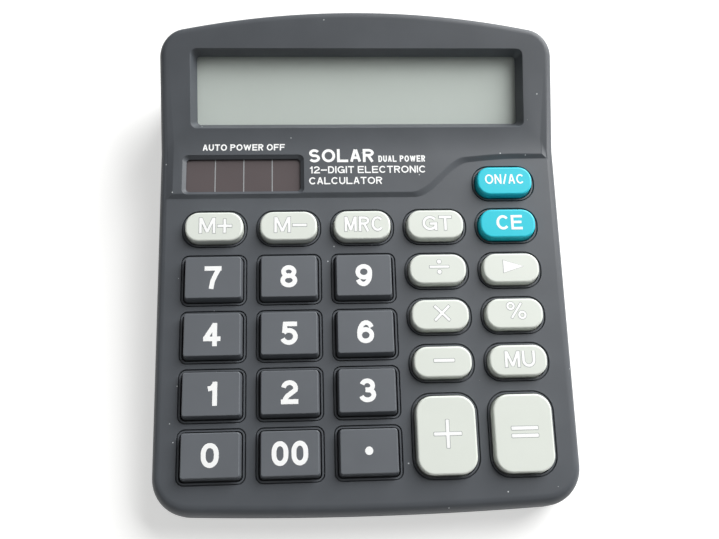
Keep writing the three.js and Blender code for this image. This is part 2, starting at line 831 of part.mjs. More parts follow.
// A plate with a tongue along each side, ending flush with the rear of the case.
function batteryDoor() {
  const half = bayHalf - gap;
  const front = bayFront + gap;
  const middle = (caseBottom + doorTop) / 2;
  const tongue = doorTongueThickness / 2;
  const plate = solidOf(box(-half, half, front, rearY + overrun, caseBottom, doorTop));
  const reach = bayHalf + doorTongue;
  const tongues = box(-reach, reach, front, bayRear, middle - tongue, middle + tongue);
  const gripY = bayRear - doorGrip.height / 2;
  const grip = roundedRectangle(doorGrip.width, doorGrip.height, doorGrip.height / 2, 3);
  const gripCut = prism(grip, 0, caseBottom + doorGrip.depth, 0, gripY);
  return plate.intersect(lowerOuter()).add(solidOf(tongues)).subtract(solidOf(gripCut));
}

addMesh("battery_door", geometryOf(batteryDoor()), caseGrey);

// ---------------------------------------------------------------------------------------------------
// Keypad membrane, board and what is on it
// ---------------------------------------------------------------------------------------------------

const boardHalf = halfWidth - wall - boardToWall;
const boardBackV = keypadBack + boardBackMargin;

function sheetOutline(backV) {
  const depth = backV - boardFrontV;
  return roundedRectangle(2 * boardHalf, depth, boardRadius, 3).map(
    (point) => new THREE.Vector2(point.x, point.y + boardFrontV + depth / 2),
  );
}

// Corners that the screw bosses take from the sheets behind the keys.
function bossClearance() {
  return caseScrewPlaces.map(({ x, y }) =>
    solidOf(prism(circle(pillarRadius + gap, screwSides), 0, creaseZ, x, y)),
  );
}

function membrane() {
  const mainBack = memoryRow + functionWell.height / 2 + gap;
  const tabLeft = columns[4] - functionWell.width / 2 - gap;
  const sheet = onKeyboard(prism(sheetOutline(mainBack), -webBottom, -webTop));
  const tab = onKeyboard(box(tabLeft, boardHalf, memoryRow, keypadBack, -webBottom, -webTop));
  const domes = keys.map(({ x, v }) => {
    const foot = ringAt(circle(domeFootRadius, domeSides), -webTop - gap, x, v);
    return onKeyboard(loft([foot, ringAt(circle(domeTopRadius, domeSides), -domeTop, x, v)]));
  });
  const hollows = keys.map(({ x, v }) => {
    const mouth = ringAt(circle(domeFootRadius - domeWall, domeSides), -webBottom - gap, x, v);
    const roof = ringAt(circle(domeTopRadius - domeWall, domeSides), -domeTop - domeRoof, x, v);
    return onKeyboard(loft([mouth, roof]));
  });
  const postHoles = boardScrewPlaces.map(({ x, v }) =>
    onKeyboard(prism(circle(postRadius + gap, screwSides), -boardBottom, 0, x, v)),
  );
  return cutBy(joined([sheet, tab, ...domes]), [...hollows, ...postHoles, ...bossClearance()]);
}

addMesh("keypad_membrane", geometryOf(membrane()), silicone);

function circuitBoard() {
  const sheet = onKeyboard(prism(sheetOutline(boardBackV), -boardBottom, -boardTop));
  const holes = boardScrewPlaces.map(({ x, v }) =>
    onKeyboard(prism(circle(boardScrew.shaftRadius + gap, screwSides), -boardBottom - 1, 0, x, v)),
  );
  return cutBy(sheet, [...holes, ...bossClearance()]);
}

addMesh("circuit_board", geometryOf(circuitBoard()), boardGreen);

function controllerBlob() {
  const dome = [90, 60, 30, 0].map((angle) => [
    controllerRadius * Math.cos(angle * degree),
    -controllerHeight * Math.sin(angle * degree),
  ]);
  return welded(turned([...dome, [0, 0]], roundSides));
}

const controller = addMesh("controller_blob", controllerBlob(), epoxyBlack, keyboardGroup);
controller.position.set(columns[3] - columnPitch / 2, digitRows[2], -boardBottom - gap);

const capacitorBody = new THREE.CylinderGeometry(capacitorRadius, capacitorRadius, capacitorLength, roundSides);
const capacitor = addMesh("capacitor", welded(capacitorBody), epoxyBlack, keyboardGroup);
capacitor.rotation.z = Math.PI / 2;
capacitor.position.set(columns[1], digitRows[3], -boardBottom - gap - capacitorRadius);

// ---------------------------------------------------------------------------------------------------
// Display window, glass, frame and ribbon
// ---------------------------------------------------------------------------------------------------

function displayPlate(width, height, bottom, top) {
  return prism(roundedRectangle(width, height, bezelRadius - gap, 2), -bottom, -top, 0, bezelCentre);
}

const windowPlate = displayPlate(windowWidth, windowHeight, windowBottom, windowTop);
addMesh("display_window", windowPlate, clearWindow, displayGroup);
const glassPlate = displayPlate(windowWidth, windowHeight, glassBottom, glassTop);
addMesh("display_glass", glassPlate, displayGlass, displayGroup);

// A rim under the glass, open at the front for the ribbon.
function displayFrameRim() {
  const outer = solidOf(displayPlate(blockWidth - 2 * gap, blockHeight - 2 * gap, frameBottom, frameTop));
  const rimFront = bezelCentre - blockHeight / 2;
  const inner = solidOf(
    displayPlate(windowWidth - 2 * frameRim, windowHeight - 2 * frameRim, frameBottom + 1, frameTop - 1),
  );
  const notchHalf = ribbonWidth / 2 + gap;
  const notch = box(-notchHalf, notchHalf, rimFront - 1, bezelCentre, -frameBottom - 1, -frameTop + 1);
  return cutBy(outer, [inner, solidOf(notch)]);
}

addMesh("display_frame", geometryOf(displayFrameRim()), lightKeyGrey, displayGroup);

// A thin strip from the underside of the glass to the underside of the board.
function displayRibbon() {
  const glassFront = bezelCentre - windowHeight / 2;
  const underBoard = -boardBottom - gap;
  const boardSide = new THREE.Vector3(0, boardBackV - ribbonOverlap, underBoard).applyMatrix4(keyboardFrame);
  const boardEdge = new THREE.Vector3(0, boardBackV + gap, underBoard).applyMatrix4(keyboardFrame);
  const glassEdge = new THREE.Vector3(0, glassFront, -frameTop).applyMatrix4(displayFrame);
  const glassSide = new THREE.Vector3(0, glassFront + ribbonOverlap, -frameTop).applyMatrix4(displayFrame);
  const bends = [boardSide, boardEdge, glassEdge, glassSide];
  const upper = bends.map((point) => new THREE.Vector2(point.y, point.z));
  const lower = upper.map((point) => new THREE.Vector2(point.x, point.y - ribbonThickness)).reverse();
  const strip = new THREE.ExtrudeGeometry(new THREE.Shape([...upper, ...lower]), {
    depth: ribbonWidth,
    bevelEnabled: false,
  });
  const alongX = new THREE.Matrix4().makeBasis(
    new THREE.Vector3(0, 1, 0),
    new THREE.Vector3(0, 0, 1),
    new THREE.Vector3(1, 0, 0),
  );
  return welded(strip.applyMatrix4(alongX).translate(-ribbonWidth / 2, 0, 0));
}

addMesh("display_ribbon", displayRibbon(), ribbonAmber);

// ---------------------------------------------------------------------------------------------------
// Solar cell
// ---------------------------------------------------------------------------------------------------

const cellPlate = prism(roundedRectangle(cellWidth, cellHeight, solarRadius, 1), -cellBottom, -cellTop);
const solarCell = addMesh("solar_cell", cellPlate, cellBrown, keyboardGroup);
solarCell.position.set(solarX, solarV, panelRise);

// ---------------------------------------------------------------------------------------------------
// Battery and contacts
// ---------------------------------------------------------------------------------------------------

const batteryStart = batteryX - (batteryLength + batteryNubLength) / 2;

function batteryBody() {
  const shoulder = 0.6;
  const profile = [
    [0, 0],
    [batteryRadius - shoulder, 0],
    [batteryRadius, shoulder],
    [batteryRadius, batteryLength - shoulder],
    [batteryRadius - shoulder, batteryLength],
    [batteryNubRadius, batteryLength],
    [batteryNubRadius, batteryLength + batteryNubLength],
    [0, batteryLength + batteryNubLength],
  ];
  return welded(turned(profile, 20));
}

const battery = addMesh("battery", batteryBody(), batterySleeve);
battery.rotation.y = Math.PI / 2;
battery.position.set(batteryStart, batteryY, batteryZ);

function contactPlate(x0, x1) {
  const half = contactWidth / 2;
  return box(x0, x1, batteryY - half, batteryY + half, contactBottom, contactTop);
}

addMesh("positive_contact", welded(contactPlate(bayHalf - gap - contactThickness, bayHalf - gap)), springSteel);

// A flat plate with a conical spring that reaches the battery's end.
class SpringPath extends THREE.Curve {
  getPoint(t, target = new THREE.Vector3()) {
    const angle = 2 * Math.PI * springTurns * t;
    const radius = springFootRadius + (springTopRadius - springFootRadius) * t;
    const reach = (springLength - springWire - gap) * t;
    return target.set(reach, radius * Math.cos(angle), radius * Math.sin(angle));
  }
}

function negativeContact() {
  const plateBack = -bayHalf + gap;
  const plateFront = plateBack + contactThickness;
  const wire = new THREE.Shape(circle(springWire, 6));
  const coil = new THREE.ExtrudeGeometry(wire, { steps: springTurns * 12, extrudePath: new SpringPath() });
  coil.translate(plateFront, batteryY, batteryZ);
  return solidOf(contactPlate(plateBack, plateFront)).add(solidOf(coil));
}

addMesh("negative_contact", geometryOf(negativeContact()), springSteel);

// ---------------------------------------------------------------------------------------------------
// Leads
// ---------------------------------------------------------------------------------------------------

function leadGeometry(points) {
  const path = new THREE.CatmullRomCurve3(points, false, "centripetal");
  const section = new THREE.Shape(circle(leadRadius, leadSides));
  return welded(new THREE.ExtrudeGeometry(section, { steps: leadSteps, extrudePath: path }));
}

function keyboardPoint(x, v, depth) {
  return new THREE.Vector3(x, v, -depth).applyMatrix4(keyboardFrame);
}

// From the top of a contact plate over the bay wall, forward and up to the underside of the board.
function batteryLead(side, plateX) {
  const landing = side * batteryLeadLanding;
  const landingV = boardBackV - batteryLeadMargin;
  const overTab = contactTop + gap + 2 * leadRadius;
  const wallTop = floorTop + bayWallHeight;
  const start = new THREE.Vector3(plateX, batteryY, contactTop + gap);
  const arch = new THREE.Vector3(plateX, batteryY - leadRadius, overTab);
  const pastTab = new THREE.Vector3(plateX, batteryY - contactWidth / 2, overTab);
  const overWall = new THREE.Vector3(plateX, bayFront - bayWall, wallTop + 3 * leadRadius);
  const run = new THREE.Vector3(plateX, bayFront - batteryLeadReach, wallTop - batteryLeadSag);
  const under = keyboardPoint((plateX + landing) / 2, landingV, boardBottom + batteryLeadDip);
  const rise = landingV - batteryLeadBend;
  return leadGeometry([
    start,
    arch,
    pastTab,
    overWall,
    run,
    under,
    keyboardPoint(landing, rise, boardBottom + 4 * leadRadius),
    keyboardPoint(landing, rise - leadRadius, boardBottom + gap),
  ]);
}

addMesh("battery_lead_positive", batteryLead(1, bayHalf - gap - contactThickness / 2), leadRed);
addMesh("battery_lead_negative", batteryLead(-1, -bayHalf + gap + contactThickness / 2), leadBlack);

// From the underside of the solar cell down to the top of the board.
function solarLead(side) {
  const x = solarX + side * (cellWidth / 2 - solarLeadInset);
  const cellDepth = cellBottom - panelRise + gap;
  const landing = x - side * solarLeadShift;
  const low = boardTop - gap;
  const middle = (cellDepth + low) / 2;
  return leadGeometry([
    keyboardPoint(x, solarV, cellDepth),
    keyboardPoint(x, solarV, cellDepth + leadRadius),
    keyboardPoint((x + landing) / 2, solarV - solarLeadBend, middle),
    keyboardPoint(landing, solarV - 2 * solarLeadBend, low - leadRadius),
    keyboardPoint(landing, solarV - 2 * solarLeadBend, low),
  ]);
}

addMesh("solar_lead_positive", solarLead(1), leadRed);
addMesh("solar_lead_negative", solarLead(-1), leadBlack);

// ---------------------------------------------------------------------------------------------------
// Screws and feet
// ---------------------------------------------------------------------------------------------------

// A pan-head screw pointing up, with the underside of its head at height 0.
function screwGeometry({ headRadius, headHeight, crown, shaftRadius, shaftLength }) {
  const profile = [
    [0, -headHeight],
    [headRadius - crown, -headHeight],
    [headRadius, crown - headHeight],
    [headRadius, 0],
    [shaftRadius, 0],
    [shaftRadius, shaftLength],
    [0, shaftLength],
  ];
  return welded(turned(profile, screwSides));
}

for (const { name, x, y } of caseScrewPlaces) {
  const screw = addMesh(`case_screw_${name}`, screwGeometry(caseScrew), screwSteel);
  screw.position.set(x, y, counterboreTop - gap);
}

for (const { name, x, v } of boardScrewPlaces) {
  const screw = addMesh(`board_screw_${name}`, screwGeometry(boardScrew), screwSteel, keyboardGroup);
  screw.position.set(x, v, -boardBottom - gap);
}

for (const { name, x, y } of footPlaces) {
  const profile = [
    [0, 0],
    [footRadius - footChamfer, 0],
    [footRadius, footChamfer],
    [footRadius, caseBottom + footSeat],
    [0, caseBottom + footSeat],
  ];
  const foot = addMesh(`rubber_foot_${name}`, welded(turned(profile, roundSides)), rubberBlack);
  foot.position.set(x, y, 0);
}

export default calculator;
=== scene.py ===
"""Looks of a desk calculator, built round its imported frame.

Sizes are in millimetres until a piece is placed.
"""

from __future__ import annotations

import json
import logging
import math
from collections.abc import Callable, Iterable, Sequence
from dataclasses import dataclass, field
from enum import Enum
from typing import Any

import bmesh
import bpy
from mathutils import Euler, Matrix, Vector

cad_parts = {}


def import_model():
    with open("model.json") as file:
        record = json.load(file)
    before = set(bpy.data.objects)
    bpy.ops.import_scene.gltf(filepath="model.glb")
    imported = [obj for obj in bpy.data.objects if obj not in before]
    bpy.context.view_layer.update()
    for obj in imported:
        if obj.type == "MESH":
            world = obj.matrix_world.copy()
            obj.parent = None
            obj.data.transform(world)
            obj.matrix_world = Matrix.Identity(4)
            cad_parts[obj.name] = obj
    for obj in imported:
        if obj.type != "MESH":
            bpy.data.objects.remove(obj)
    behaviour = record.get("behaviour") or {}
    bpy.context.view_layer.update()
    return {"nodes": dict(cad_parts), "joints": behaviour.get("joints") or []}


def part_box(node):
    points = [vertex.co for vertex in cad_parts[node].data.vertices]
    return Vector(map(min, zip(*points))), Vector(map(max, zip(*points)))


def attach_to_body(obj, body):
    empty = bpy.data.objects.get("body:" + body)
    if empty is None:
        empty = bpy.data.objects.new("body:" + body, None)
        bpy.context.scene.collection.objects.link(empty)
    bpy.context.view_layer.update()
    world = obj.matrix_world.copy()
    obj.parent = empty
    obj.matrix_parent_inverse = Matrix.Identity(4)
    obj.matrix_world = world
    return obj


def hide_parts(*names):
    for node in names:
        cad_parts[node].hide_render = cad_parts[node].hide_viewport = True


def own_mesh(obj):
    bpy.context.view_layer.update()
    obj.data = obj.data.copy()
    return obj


MM = 0.001
CASE_BODY = "case"
GAP = 0.3
OVERRUN = 5.0
QUARTER = math.pi / 2
SMOOTH_ANGLE = math.radians(32)
FLAT_WEIGHT = 100
LEAST_CORNER = 0.05
LEAST_RADIUS = 0.01
ARC_STEP = 15
# How far a cutter goes past what it cuts.
PAST = 1.0
# Angles round the edge of a small turned piece.
EDGE_ANGLES = (0, 0.4, 0.8, 1.2, QUARTER)
DOME_SIDES = 28
log = logging.getLogger("calculator")

Outline = list[Vector]
Ring = list[Vector]


# --- Outlines and solids ---


class Combine(Enum):
    """How a tool acts on a body."""

    ADD = "UNION"
    TAKE = "DIFFERENCE"
    KEEP = "INTERSECT"


def arc(
    centre: tuple[float, float], radius: float, start: float, end: float, steps: int
) -> Outline:
    """Points on a circular arc.

    Args:
        centre: Middle of the circle.
        radius: Radius of the circle.
        start: First angle, in radians.
        end: Last angle, in radians.
        steps: Number of chords.

    Returns:
        The points, both ends included.
    """
    angles = [start + (end - start) * i / steps for i in range(steps + 1)]
    return [
        Vector((centre[0] + radius * math.cos(a), centre[1] + radius * math.sin(a))) for a in angles
    ]


def rounded(width: float, height: float, radius: float, steps: int = 8) -> Outline:
    """Outline of a rectangle with round corners, centred on the origin.

    Args:
        width: Size across.
        height: Size along.
        radius: Corner radius.
        steps: Chords in one corner.

    Returns:
        The points, counter-clockwise.
    """
    r = max(min(radius, width / 2 - LEAST_CORNER, height / 2 - LEAST_CORNER), LEAST_CORNER)
    x, y = width / 2 - r, height / 2 - r
    corners = [(x, -y), (x, y), (-x, y), (-x, -y)]
    return [
        p for k, c in enumerate(corners) for p in arc(c, r, (k - 1) * QUARTER, k * QUARTER, steps)
    ]


def circle(radius: float, sides: int = 32) -> Outline:
    """Outline of a circle round the origin."""
    return arc((0, 0), radius, 0, 2 * math.pi * (1 - 1 / sides), sides - 1)


def ring(outline: Outline, height: float, x: float = 0, y: float = 0) -> Ring:
    """An outline lifted to a height and moved sideways."""
    return [Vector((p.x + x, p.y + y, height)) for p in outline]


def skin(bm: bmesh.types.BMesh, rings: Sequence[Sequence[bmesh.types.BMVert]]) -> None:
    """Adds the faces between each ring of corners and the next."""
    count = len(rings[0])
    for lower, upper in zip(rings, rings[1:]):
        for i in range(count):
            j = (i + 1) % count
            bm.faces.new((lower[i], lower[j], upper[j], upper[i]))


def loft(
    rings: Sequence[Ring], top_parts: Sequence[Sequence[int]] | None = None
) -> bmesh.types.BMesh:
    """Closed skin through a stack of rings with equal point counts.

    Args:
        rings: The rings, from the bottom up, each counter-clockwise.
        top_parts: Point numbers of each flat part of a top that folds.

    Returns:
        The mesh, in millimetres.
    """
    bm = bmesh.new()
    layers = [[bm.verts.new(p) for p in points] for points in rings]
    skin(bm, layers)
    bm.faces.new(reversed(layers[0]))
    for part in top_parts or [range(len(layers[0]))]:
        bm.faces.new([layers[-1][i] for i in part])
    return bm


def prism(
    outline: Outline, bottom: float, top: float, x: float = 0, y: float = 0
) -> bmesh.types.BMesh:
    """A straight-sided solid on an outline."""
    return loft([ring(outline, bottom, x, y), ring(outline, top, x, y)])


def block(
    x: tuple[float, float], y: tuple[float, float], z: tuple[float, float]
) -> bmesh.types.BMesh:
    """A block between two values on each axis."""
    corners = [
        Vector((x[0], y[0])), Vector((x[1], y[0])), Vector((x[1], y[1])), Vector((x[0], y[1]))
    ]
    return prism(corners, z[0], z[1])


def turned(profile: Sequence[tuple[float, float]], sides: int = 32) -> bmesh.types.BMesh:
    """A solid of revolution standing on Z, from radius and height pairs that go upwards."""
    return loft(
        [ring(circle(max(radius, LEAST_RADIUS), sides), height) for radius, height in profile]
    )


def fillet(radius: float, steps: int, start: float = 0, end: float = QUARTER) -> list[
    tuple[float, float]
]:
    """Steps of a rounded edge.

    Args:
        radius: Radius of the edge.
        steps: Number of chords.
        start: First angle, in radians.
        end: Last angle, in radians.

    Returns:
        Pairs of how far in and how far down from the two faces, from the wall to the top.
    """
    angles = [start + (end - start) * i / steps for i in range(steps + 1)]
    return [(radius * (1 - math.cos(a)), radius * (1 - math.sin(a))) for a in angles]


def merged(parts: Iterable[bmesh.types.BMesh]) -> bmesh.types.BMesh:
    """Several solids as one mesh, left apart from each other."""
    whole = bmesh.new()
    for part in parts:
        mesh = bpy.data.meshes.new("part")
        part.to_mesh(mesh)
        part.free()
        whole.from_mesh(mesh)
        bpy.data.meshes.remove(mesh)
    return whole


def studs(
    outline: Outline, bottom: float, top: float, places: Iterable[Vector]
) -> bmesh.types.BMesh:
    """The same straight-sided solid at several places."""
    return merged(prism(outline, bottom, top, p.x, p.y) for p in places)


def frame_box(name: str) -> tuple[Vector, Vector]:
    """Lowest and highest corners of a frame node, in millimetres."""
    low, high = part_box(name)
    return low / MM, high / MM


def frame_centre(name: str) -> Vector:
    """Middle of a frame node, in millimetres."""
    low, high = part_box(name)
    return (low + high) / 2 / MM


def solid(name: str, bm: bmesh.types.BMesh, place: Matrix | None = None) -> bpy.types.Object:
    """An object from a mesh in millimetres.

    Args:
        name: Name of the object.
        bm: The mesh, which is freed.
        place: Where it goes, in millimetres.

    Returns:
        The linked object, at the origin.
    """
    if place is not None:
        bm.transform(place)
    mesh = bpy.data.meshes.new(name)
    bm.to_mesh(mesh)
    bm.free()
    made = bpy.data.objects.new(name, mesh)
    bpy.context.scene.collection.objects.link(made)
    return made


def bake_modifiers(body: bpy.types.Object) -> None:
    """Turns an object's modifiers into plain mesh."""
    graph = bpy.context.evaluated_depsgraph_get()
    mesh = bpy.data.meshes.new_from_object(body.evaluated_get(graph))
    body.modifiers.clear()
    body.data = mesh


def combine(
    body: bpy.types.Object, tools: Iterable[bpy.types.Object], how: Combine
) -> bpy.types.Object:
    """Adds tools to a body, cuts them from it, or keeps what they share.

    Args:
        body: The object that changes.
        tools: Closed objects, which are removed afterwards.
        how: What the tools do.

    Returns:
        The body.
    """
    used = list(tools)
    for tool in used:
        modifier = body.modifiers.new(how.name, "BOOLEAN")
        modifier.operation = how.value
        modifier.solver = "MANIFOLD"
        modifier.object = tool
    bake_modifiers(body)
    for tool in used:
        bpy.data.objects.remove(tool)
    return body


def shade(body: bpy.types.Object) -> None:
    """Smooths rounded edges and keeps flat faces flat."""
    mesh = body.data
    mesh.polygons.foreach_set("use_smooth", [True] * len(mesh.polygons))
    mesh.set_sharp_from_angle(angle=SMOOTH_ANGLE)
    weighted = body.modifiers.new("weighted", "WEIGHTED_NORMAL")
    weighted.weight = FLAT_WEIGHT
    weighted.keep_sharp = True
    bake_modifiers(body)


def attach(
    piece: bpy.types.Object,
    finishes: Sequence[Finish],
    body: str = CASE_BODY,
    stands_for: Sequence[str] = (),
) -> bpy.types.Object:
    """Finishes a piece in millimetres and hangs it on a body of the frame.

    Args:
        piece: The object, still in millimetres.
        finishes: Its finishes, in slot order.
        body: Body that it moves with.
        stands_for: Frame nodes that it replaces.

    Returns:
        The piece, in metres.
    """
    piece.data.transform(Matrix.Scale(MM, 4))
    shade(piece)
    piece.data.materials.clear()
    for finish in finishes:
        piece.data.materials.append(finish.material)
    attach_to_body(piece, body)
    if stands_for:
        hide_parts(*stands_for)
    log.info("%s: %d faces on %s", piece.name, len(piece.data.polygons), body)
    return piece


# --- Node trees ---


def add_node(
    tree: bpy.types.NodeTree,
    kind: str,
    settings: dict[str | int, Any] | None = None,
    links: dict[str | int, bpy.types.NodeSocket] | None = None,
) -> bpy.types.Node:
    """Adds a node.

    Args:
        tree: Tree that it goes into.
        kind: Node type.
        settings: Its properties by name, or default values of its inputs by name or number.
        links: Sockets that feed its inputs, by input name or number.

    Returns:
        The node.
    """
    node = tree.nodes.new(kind)
    for name, value in (settings or {}).items():
        if isinstance(name, str) and name in node.bl_rna.properties:
            setattr(node, name, value)
        else:
            node.inputs[name].default_value = value
    for name, source in (links or {}).items():
        tree.links.new(source, node.inputs[name])
    return node


def geometry_tree(name: str, inputs: dict[str, str]) -> tuple[bpy.types.NodeTree, bpy.types.Node]:
    """An empty geometry tree with named inputs.

    Args:
        name: Name of the tree.
        inputs: Socket type of each input, by name.

    Returns:
        The tree and its input node.
    """
    tree = bpy.data.node_groups.new(name, "GeometryNodeTree")
    for label, kind in inputs.items():
        tree.interface.new_socket(label, in_out="INPUT", socket_type=kind)
    tree.interface.new_socket("Result", in_out="OUTPUT", socket_type="NodeSocketGeometry")
    return tree, add_node(tree, "NodeGroupInput")


def close_tree(
    tree: bpy.types.NodeTree, shape: bpy.types.NodeSocket, finish: bpy.types.NodeSocket
) -> None:
    """Ends a tree: instances become mesh and take their finish."""
    real = add_node(tree, "GeometryNodeRealizeInstances", links={"Geometry": shape})
    dressed = add_node(
        tree, "GeometryNodeSetMaterial", links={"Geometry": real.outputs[0], "Material": finish}
    )
    add_node(tree, "NodeGroupOutput", links={0: dressed.outputs[0]})


def run_tree(
    name: str, tree: bpy.types.NodeTree, start: bmesh.types.BMesh, inputs: dict[str, Any]
) -> bpy.types.Object:
    """Runs a geometry tree once and keeps the mesh that it makes.

    Args:
        name: Name of the object.
        tree: The tree.
        start: Mesh that the tree starts from.
        inputs: Value of each named input.

    Returns:
        A plain object, in the units of the tree.
    """
    body = solid(name, start)
    modifier = body.modifiers.new(tree.name, "NODES")
    modifier.node_group = tree
    for item in tree.interface.items_tree:
        if item.in_out == "INPUT" and item.name in inputs:
            modifier[item.identifier] = inputs[item.name]
    bake_modifiers(body)
    return body


class Repeater:
    """Sets copies of one template on given points."""

    def __init__(self) -> None:
        """Builds the tree."""
        self.tree, given = geometry_tree(
            "copies_on_points",
            {
                "Points": "NodeSocketGeometry",
                "Template": "NodeSocketObject",
                "Finish": "NodeSocketMaterial",
            },
        )
        template = add_node(
            self.tree, "GeometryNodeObjectInfo", links={"Object": given.outputs["Template"]}
        )
        copies = add_node(
            self.tree,
            "GeometryNodeInstanceOnPoints",
            links={"Points": given.outputs["Points"], "Instance": template.outputs["Geometry"]},
        )
        close_tree(self.tree, copies.outputs[0], given.outputs["Finish"])

    def copies(
        self, name: str, template: bpy.types.Object, points: Iterable[Vector], finish: Finish
    ) -> bpy.types.Object:
        """Copies the template.

        Args:
            name: Name of the result.
            template: The shape, in millimetres round the origin.
            points: Where each copy goes, in millimetres.
            finish: Finish of the copies.

        Returns:
            One plain object with all the copies.
        """
        start = bmesh.new()
        for point in points:
            start.verts.new(point)
        given = {"Template": template, "Finish": finish.material}
        return run_tree(name, self.tree, start, given)

    def lay(
        self,
        name: str,
        template: bpy.types.Object,
        points: Iterable[Vector],
        finish: Finish,
        slot: str,
        place: Matrix,
        stands_for: Sequence[str] = (),
    ) -> None:
        """Copies a template that has no other use and hangs the copies on the case.

        Args:
            name: Name of the piece.
            template: The shape, which is removed.
            points: Where each copy goes, in millimetres.
            finish: Finish of the copies.
            slot: Not used.
            place: Where the points' axes are.
            stands_for: Frame nodes that the copies replace.
        """
        made = self.copies(name, template, points, finish)
        bpy.data.objects.remove(template)
        made.data.transform(place)
        attach(made, [finish], stands_for=stands_for)


class RibMaker:
    """Lays a row of half-round ribs."""

    def __init__(self) -> None:
        """Builds the tree."""
        sizes = {name: "NodeSocketFloat" for name in ("Length", "Width", "Pitch")}
        self.tree, given = geometry_tree(
            "row_of_ribs",
            {
                "Base": "NodeSocketGeometry",
                "Count": "NodeSocketInt",
                "Finish": "NodeSocketMaterial",
                **sizes,
            },
        )
        step = add_node(self.tree, "ShaderNodeCombineXYZ", links={"Y": given.outputs["Pitch"]})
        places = add_node(
            self.tree,
            "GeometryNodeMeshLine",
            {"mode": "OFFSET"},
            {"Count": given.outputs["Count"], "Offset": step.outputs[0]},
        )
        half = add_node(
            self.tree,
            "ShaderNodeMath",
            {"operation": "MULTIPLY", 1: 0.5},
            {0: given.outputs["Width"]},
        )
        rod = add_node(
            self.tree,
            "GeometryNodeMeshCylinder",
            {"Vertices": 16},
            {"Radius": half.outputs[0], "Depth": given.outputs["Length"]},
        )
        laid = add_node(
            self.tree,
            "GeometryNodeTransform",
            {"Rotation": (0, QUARTER, 0)},
            {"Geometry": rod.outputs["Mesh"]},
        )
        row = add_node(
            self.tree,
            "GeometryNodeInstanceOnPoints",
            links={"Points": places.outputs[0], "Instance": laid.outputs[0]},
        )
        close_tree(self.tree, row.outputs[0], given.outputs["Finish"])


# --- Finishes ---


def linear(code: str) -> tuple[float, float, float, float]:
    """An sRGB hex colour as linear light."""
    shares = [int(code[i : i + 2], 16) / 255 for i in (1, 3, 5)]
    red, green, blue = (s / 12.92 if s <= 0.04045 else ((s + 0.055) / 1.055) ** 2.4 for s in shares)
    return (red, green, blue, 1.0)


@dataclass(frozen=True)
class Finish:
    """A material with even colour, fine grain in its surface, and a little dust.

    Sizes of patterns are in millimetres.
    """

    name: str
    colour: str
    roughness: float
    ior: float = 1.5
    metallic: float = 0.0
    coat: float = 0.0
    alpha: float = 1.0
    glow: float = 0.0
    grain: float = 0.0
    grain_depth: float = 0.0
    mottle: float = 0.0
    mottle_size: float = 14.0
    dust: str = ""
    dust_spacing: float = 9.0
    dust_size: float = 0.13

    @property
    def material(self) -> bpy.types.Material:
        """The finish's material, built when it is first asked for."""
        return bpy.data.materials.get(self.name) or self.build()

    def build(self) -> bpy.types.Material:
        """Builds the shader.

        Returns:
            The material.
        """
        material = bpy.data.materials.new(self.name)
        material.use_nodes = True
        tree = material.node_tree
        tree.nodes.clear()
        shader = add_node(
            tree,
            "ShaderNodeBsdfPrincipled",
            {
                "Base Color": linear(self.colour),
                "Roughness": self.roughness,
                "Metallic": self.metallic,
                "IOR": self.ior,
                "Coat Weight": self.coat,
                "Alpha": self.alpha,
                "Emission Color": linear(self.colour),
                "Emission Strength": self.glow,
            },
        )
        add_node(tree, "ShaderNodeOutputMaterial", links={"Surface": shader.outputs[0]})
        place = add_node(tree, "ShaderNodeTexCoord").outputs["Object"]
        colour = self.paint(tree, place)
        if colour is not None:
            tree.links.new(colour, shader.inputs["Base Color"])
        if self.grain:
            noise = add_node(
                tree,
                "ShaderNodeTexNoise",
                {"Scale": 1 / (self.grain * MM), "Detail": 2.0},
                {"Vector": place},
            )
            bump = add_node(
                tree,
                "ShaderNodeBump",
                {"Strength": 1.0, "Distance": self.grain_depth * MM},
                {"Height": noise.outputs[0]},
            )
            tree.links.new(bump.outputs[0], shader.inputs["Normal"])
        return material

    def paint(
        self, tree: bpy.types.NodeTree, place: bpy.types.NodeSocket
    ) -> bpy.types.NodeSocket | None:
        """Colour pattern of the surface.

        Args:
            tree: Tree of the material.
            place: Coordinates on the piece.

        Returns:
            The colour, or None where it is the same all over.
        """
        colour = None
        if self.mottle:
            cloud = add_node(
                tree,
                "ShaderNodeTexNoise",
                {"Scale": 1 / (self.mottle_size * MM), "Detail": 3.0},
                {"Vector": place},
            )
            spread = add_node(
                tree,
                "ShaderNodeMapRange",
                {
                    "From Min": 0.3,
                    "From Max": 0.7,
                    "To Min": 1 - self.mottle,
                    "To Max": 1 + self.mottle,
                },
                {"Value": cloud.outputs[0]},
            )
            multiply = {"data_type": "RGBA", "blend_type": "MULTIPLY", "Factor": 1.0}
            tinted = add_node(
                tree,
                "ShaderNodeMix",
                {**multiply, 6: linear(self.colour)},
                {7: spread.outputs[0]},
            )
            colour = tinted.outputs[2]
        if self.dust:
            cells = add_node(
                tree,
                "ShaderNodeTexVoronoi",
                {"Scale": 1 / (self.dust_spacing * MM)},
                {"Vector": place},
            )
            speck = add_node(
                tree,
                "ShaderNodeMath",
                {"operation": "LESS_THAN", 1: self.dust_size / self.dust_spacing},
                {0: cells.outputs["Distance"]},
            )
            dusty = add_node(
                tree,
                "ShaderNodeMix",
                {"data_type": "RGBA", 6: linear(self.colour), 7: linear(self.dust)},
                {"Factor": speck.outputs[0]},
            )
            if colour is not None:
                tree.links.new(colour, dusty.inputs[6])
            colour = dusty.outputs[2]
        return colour


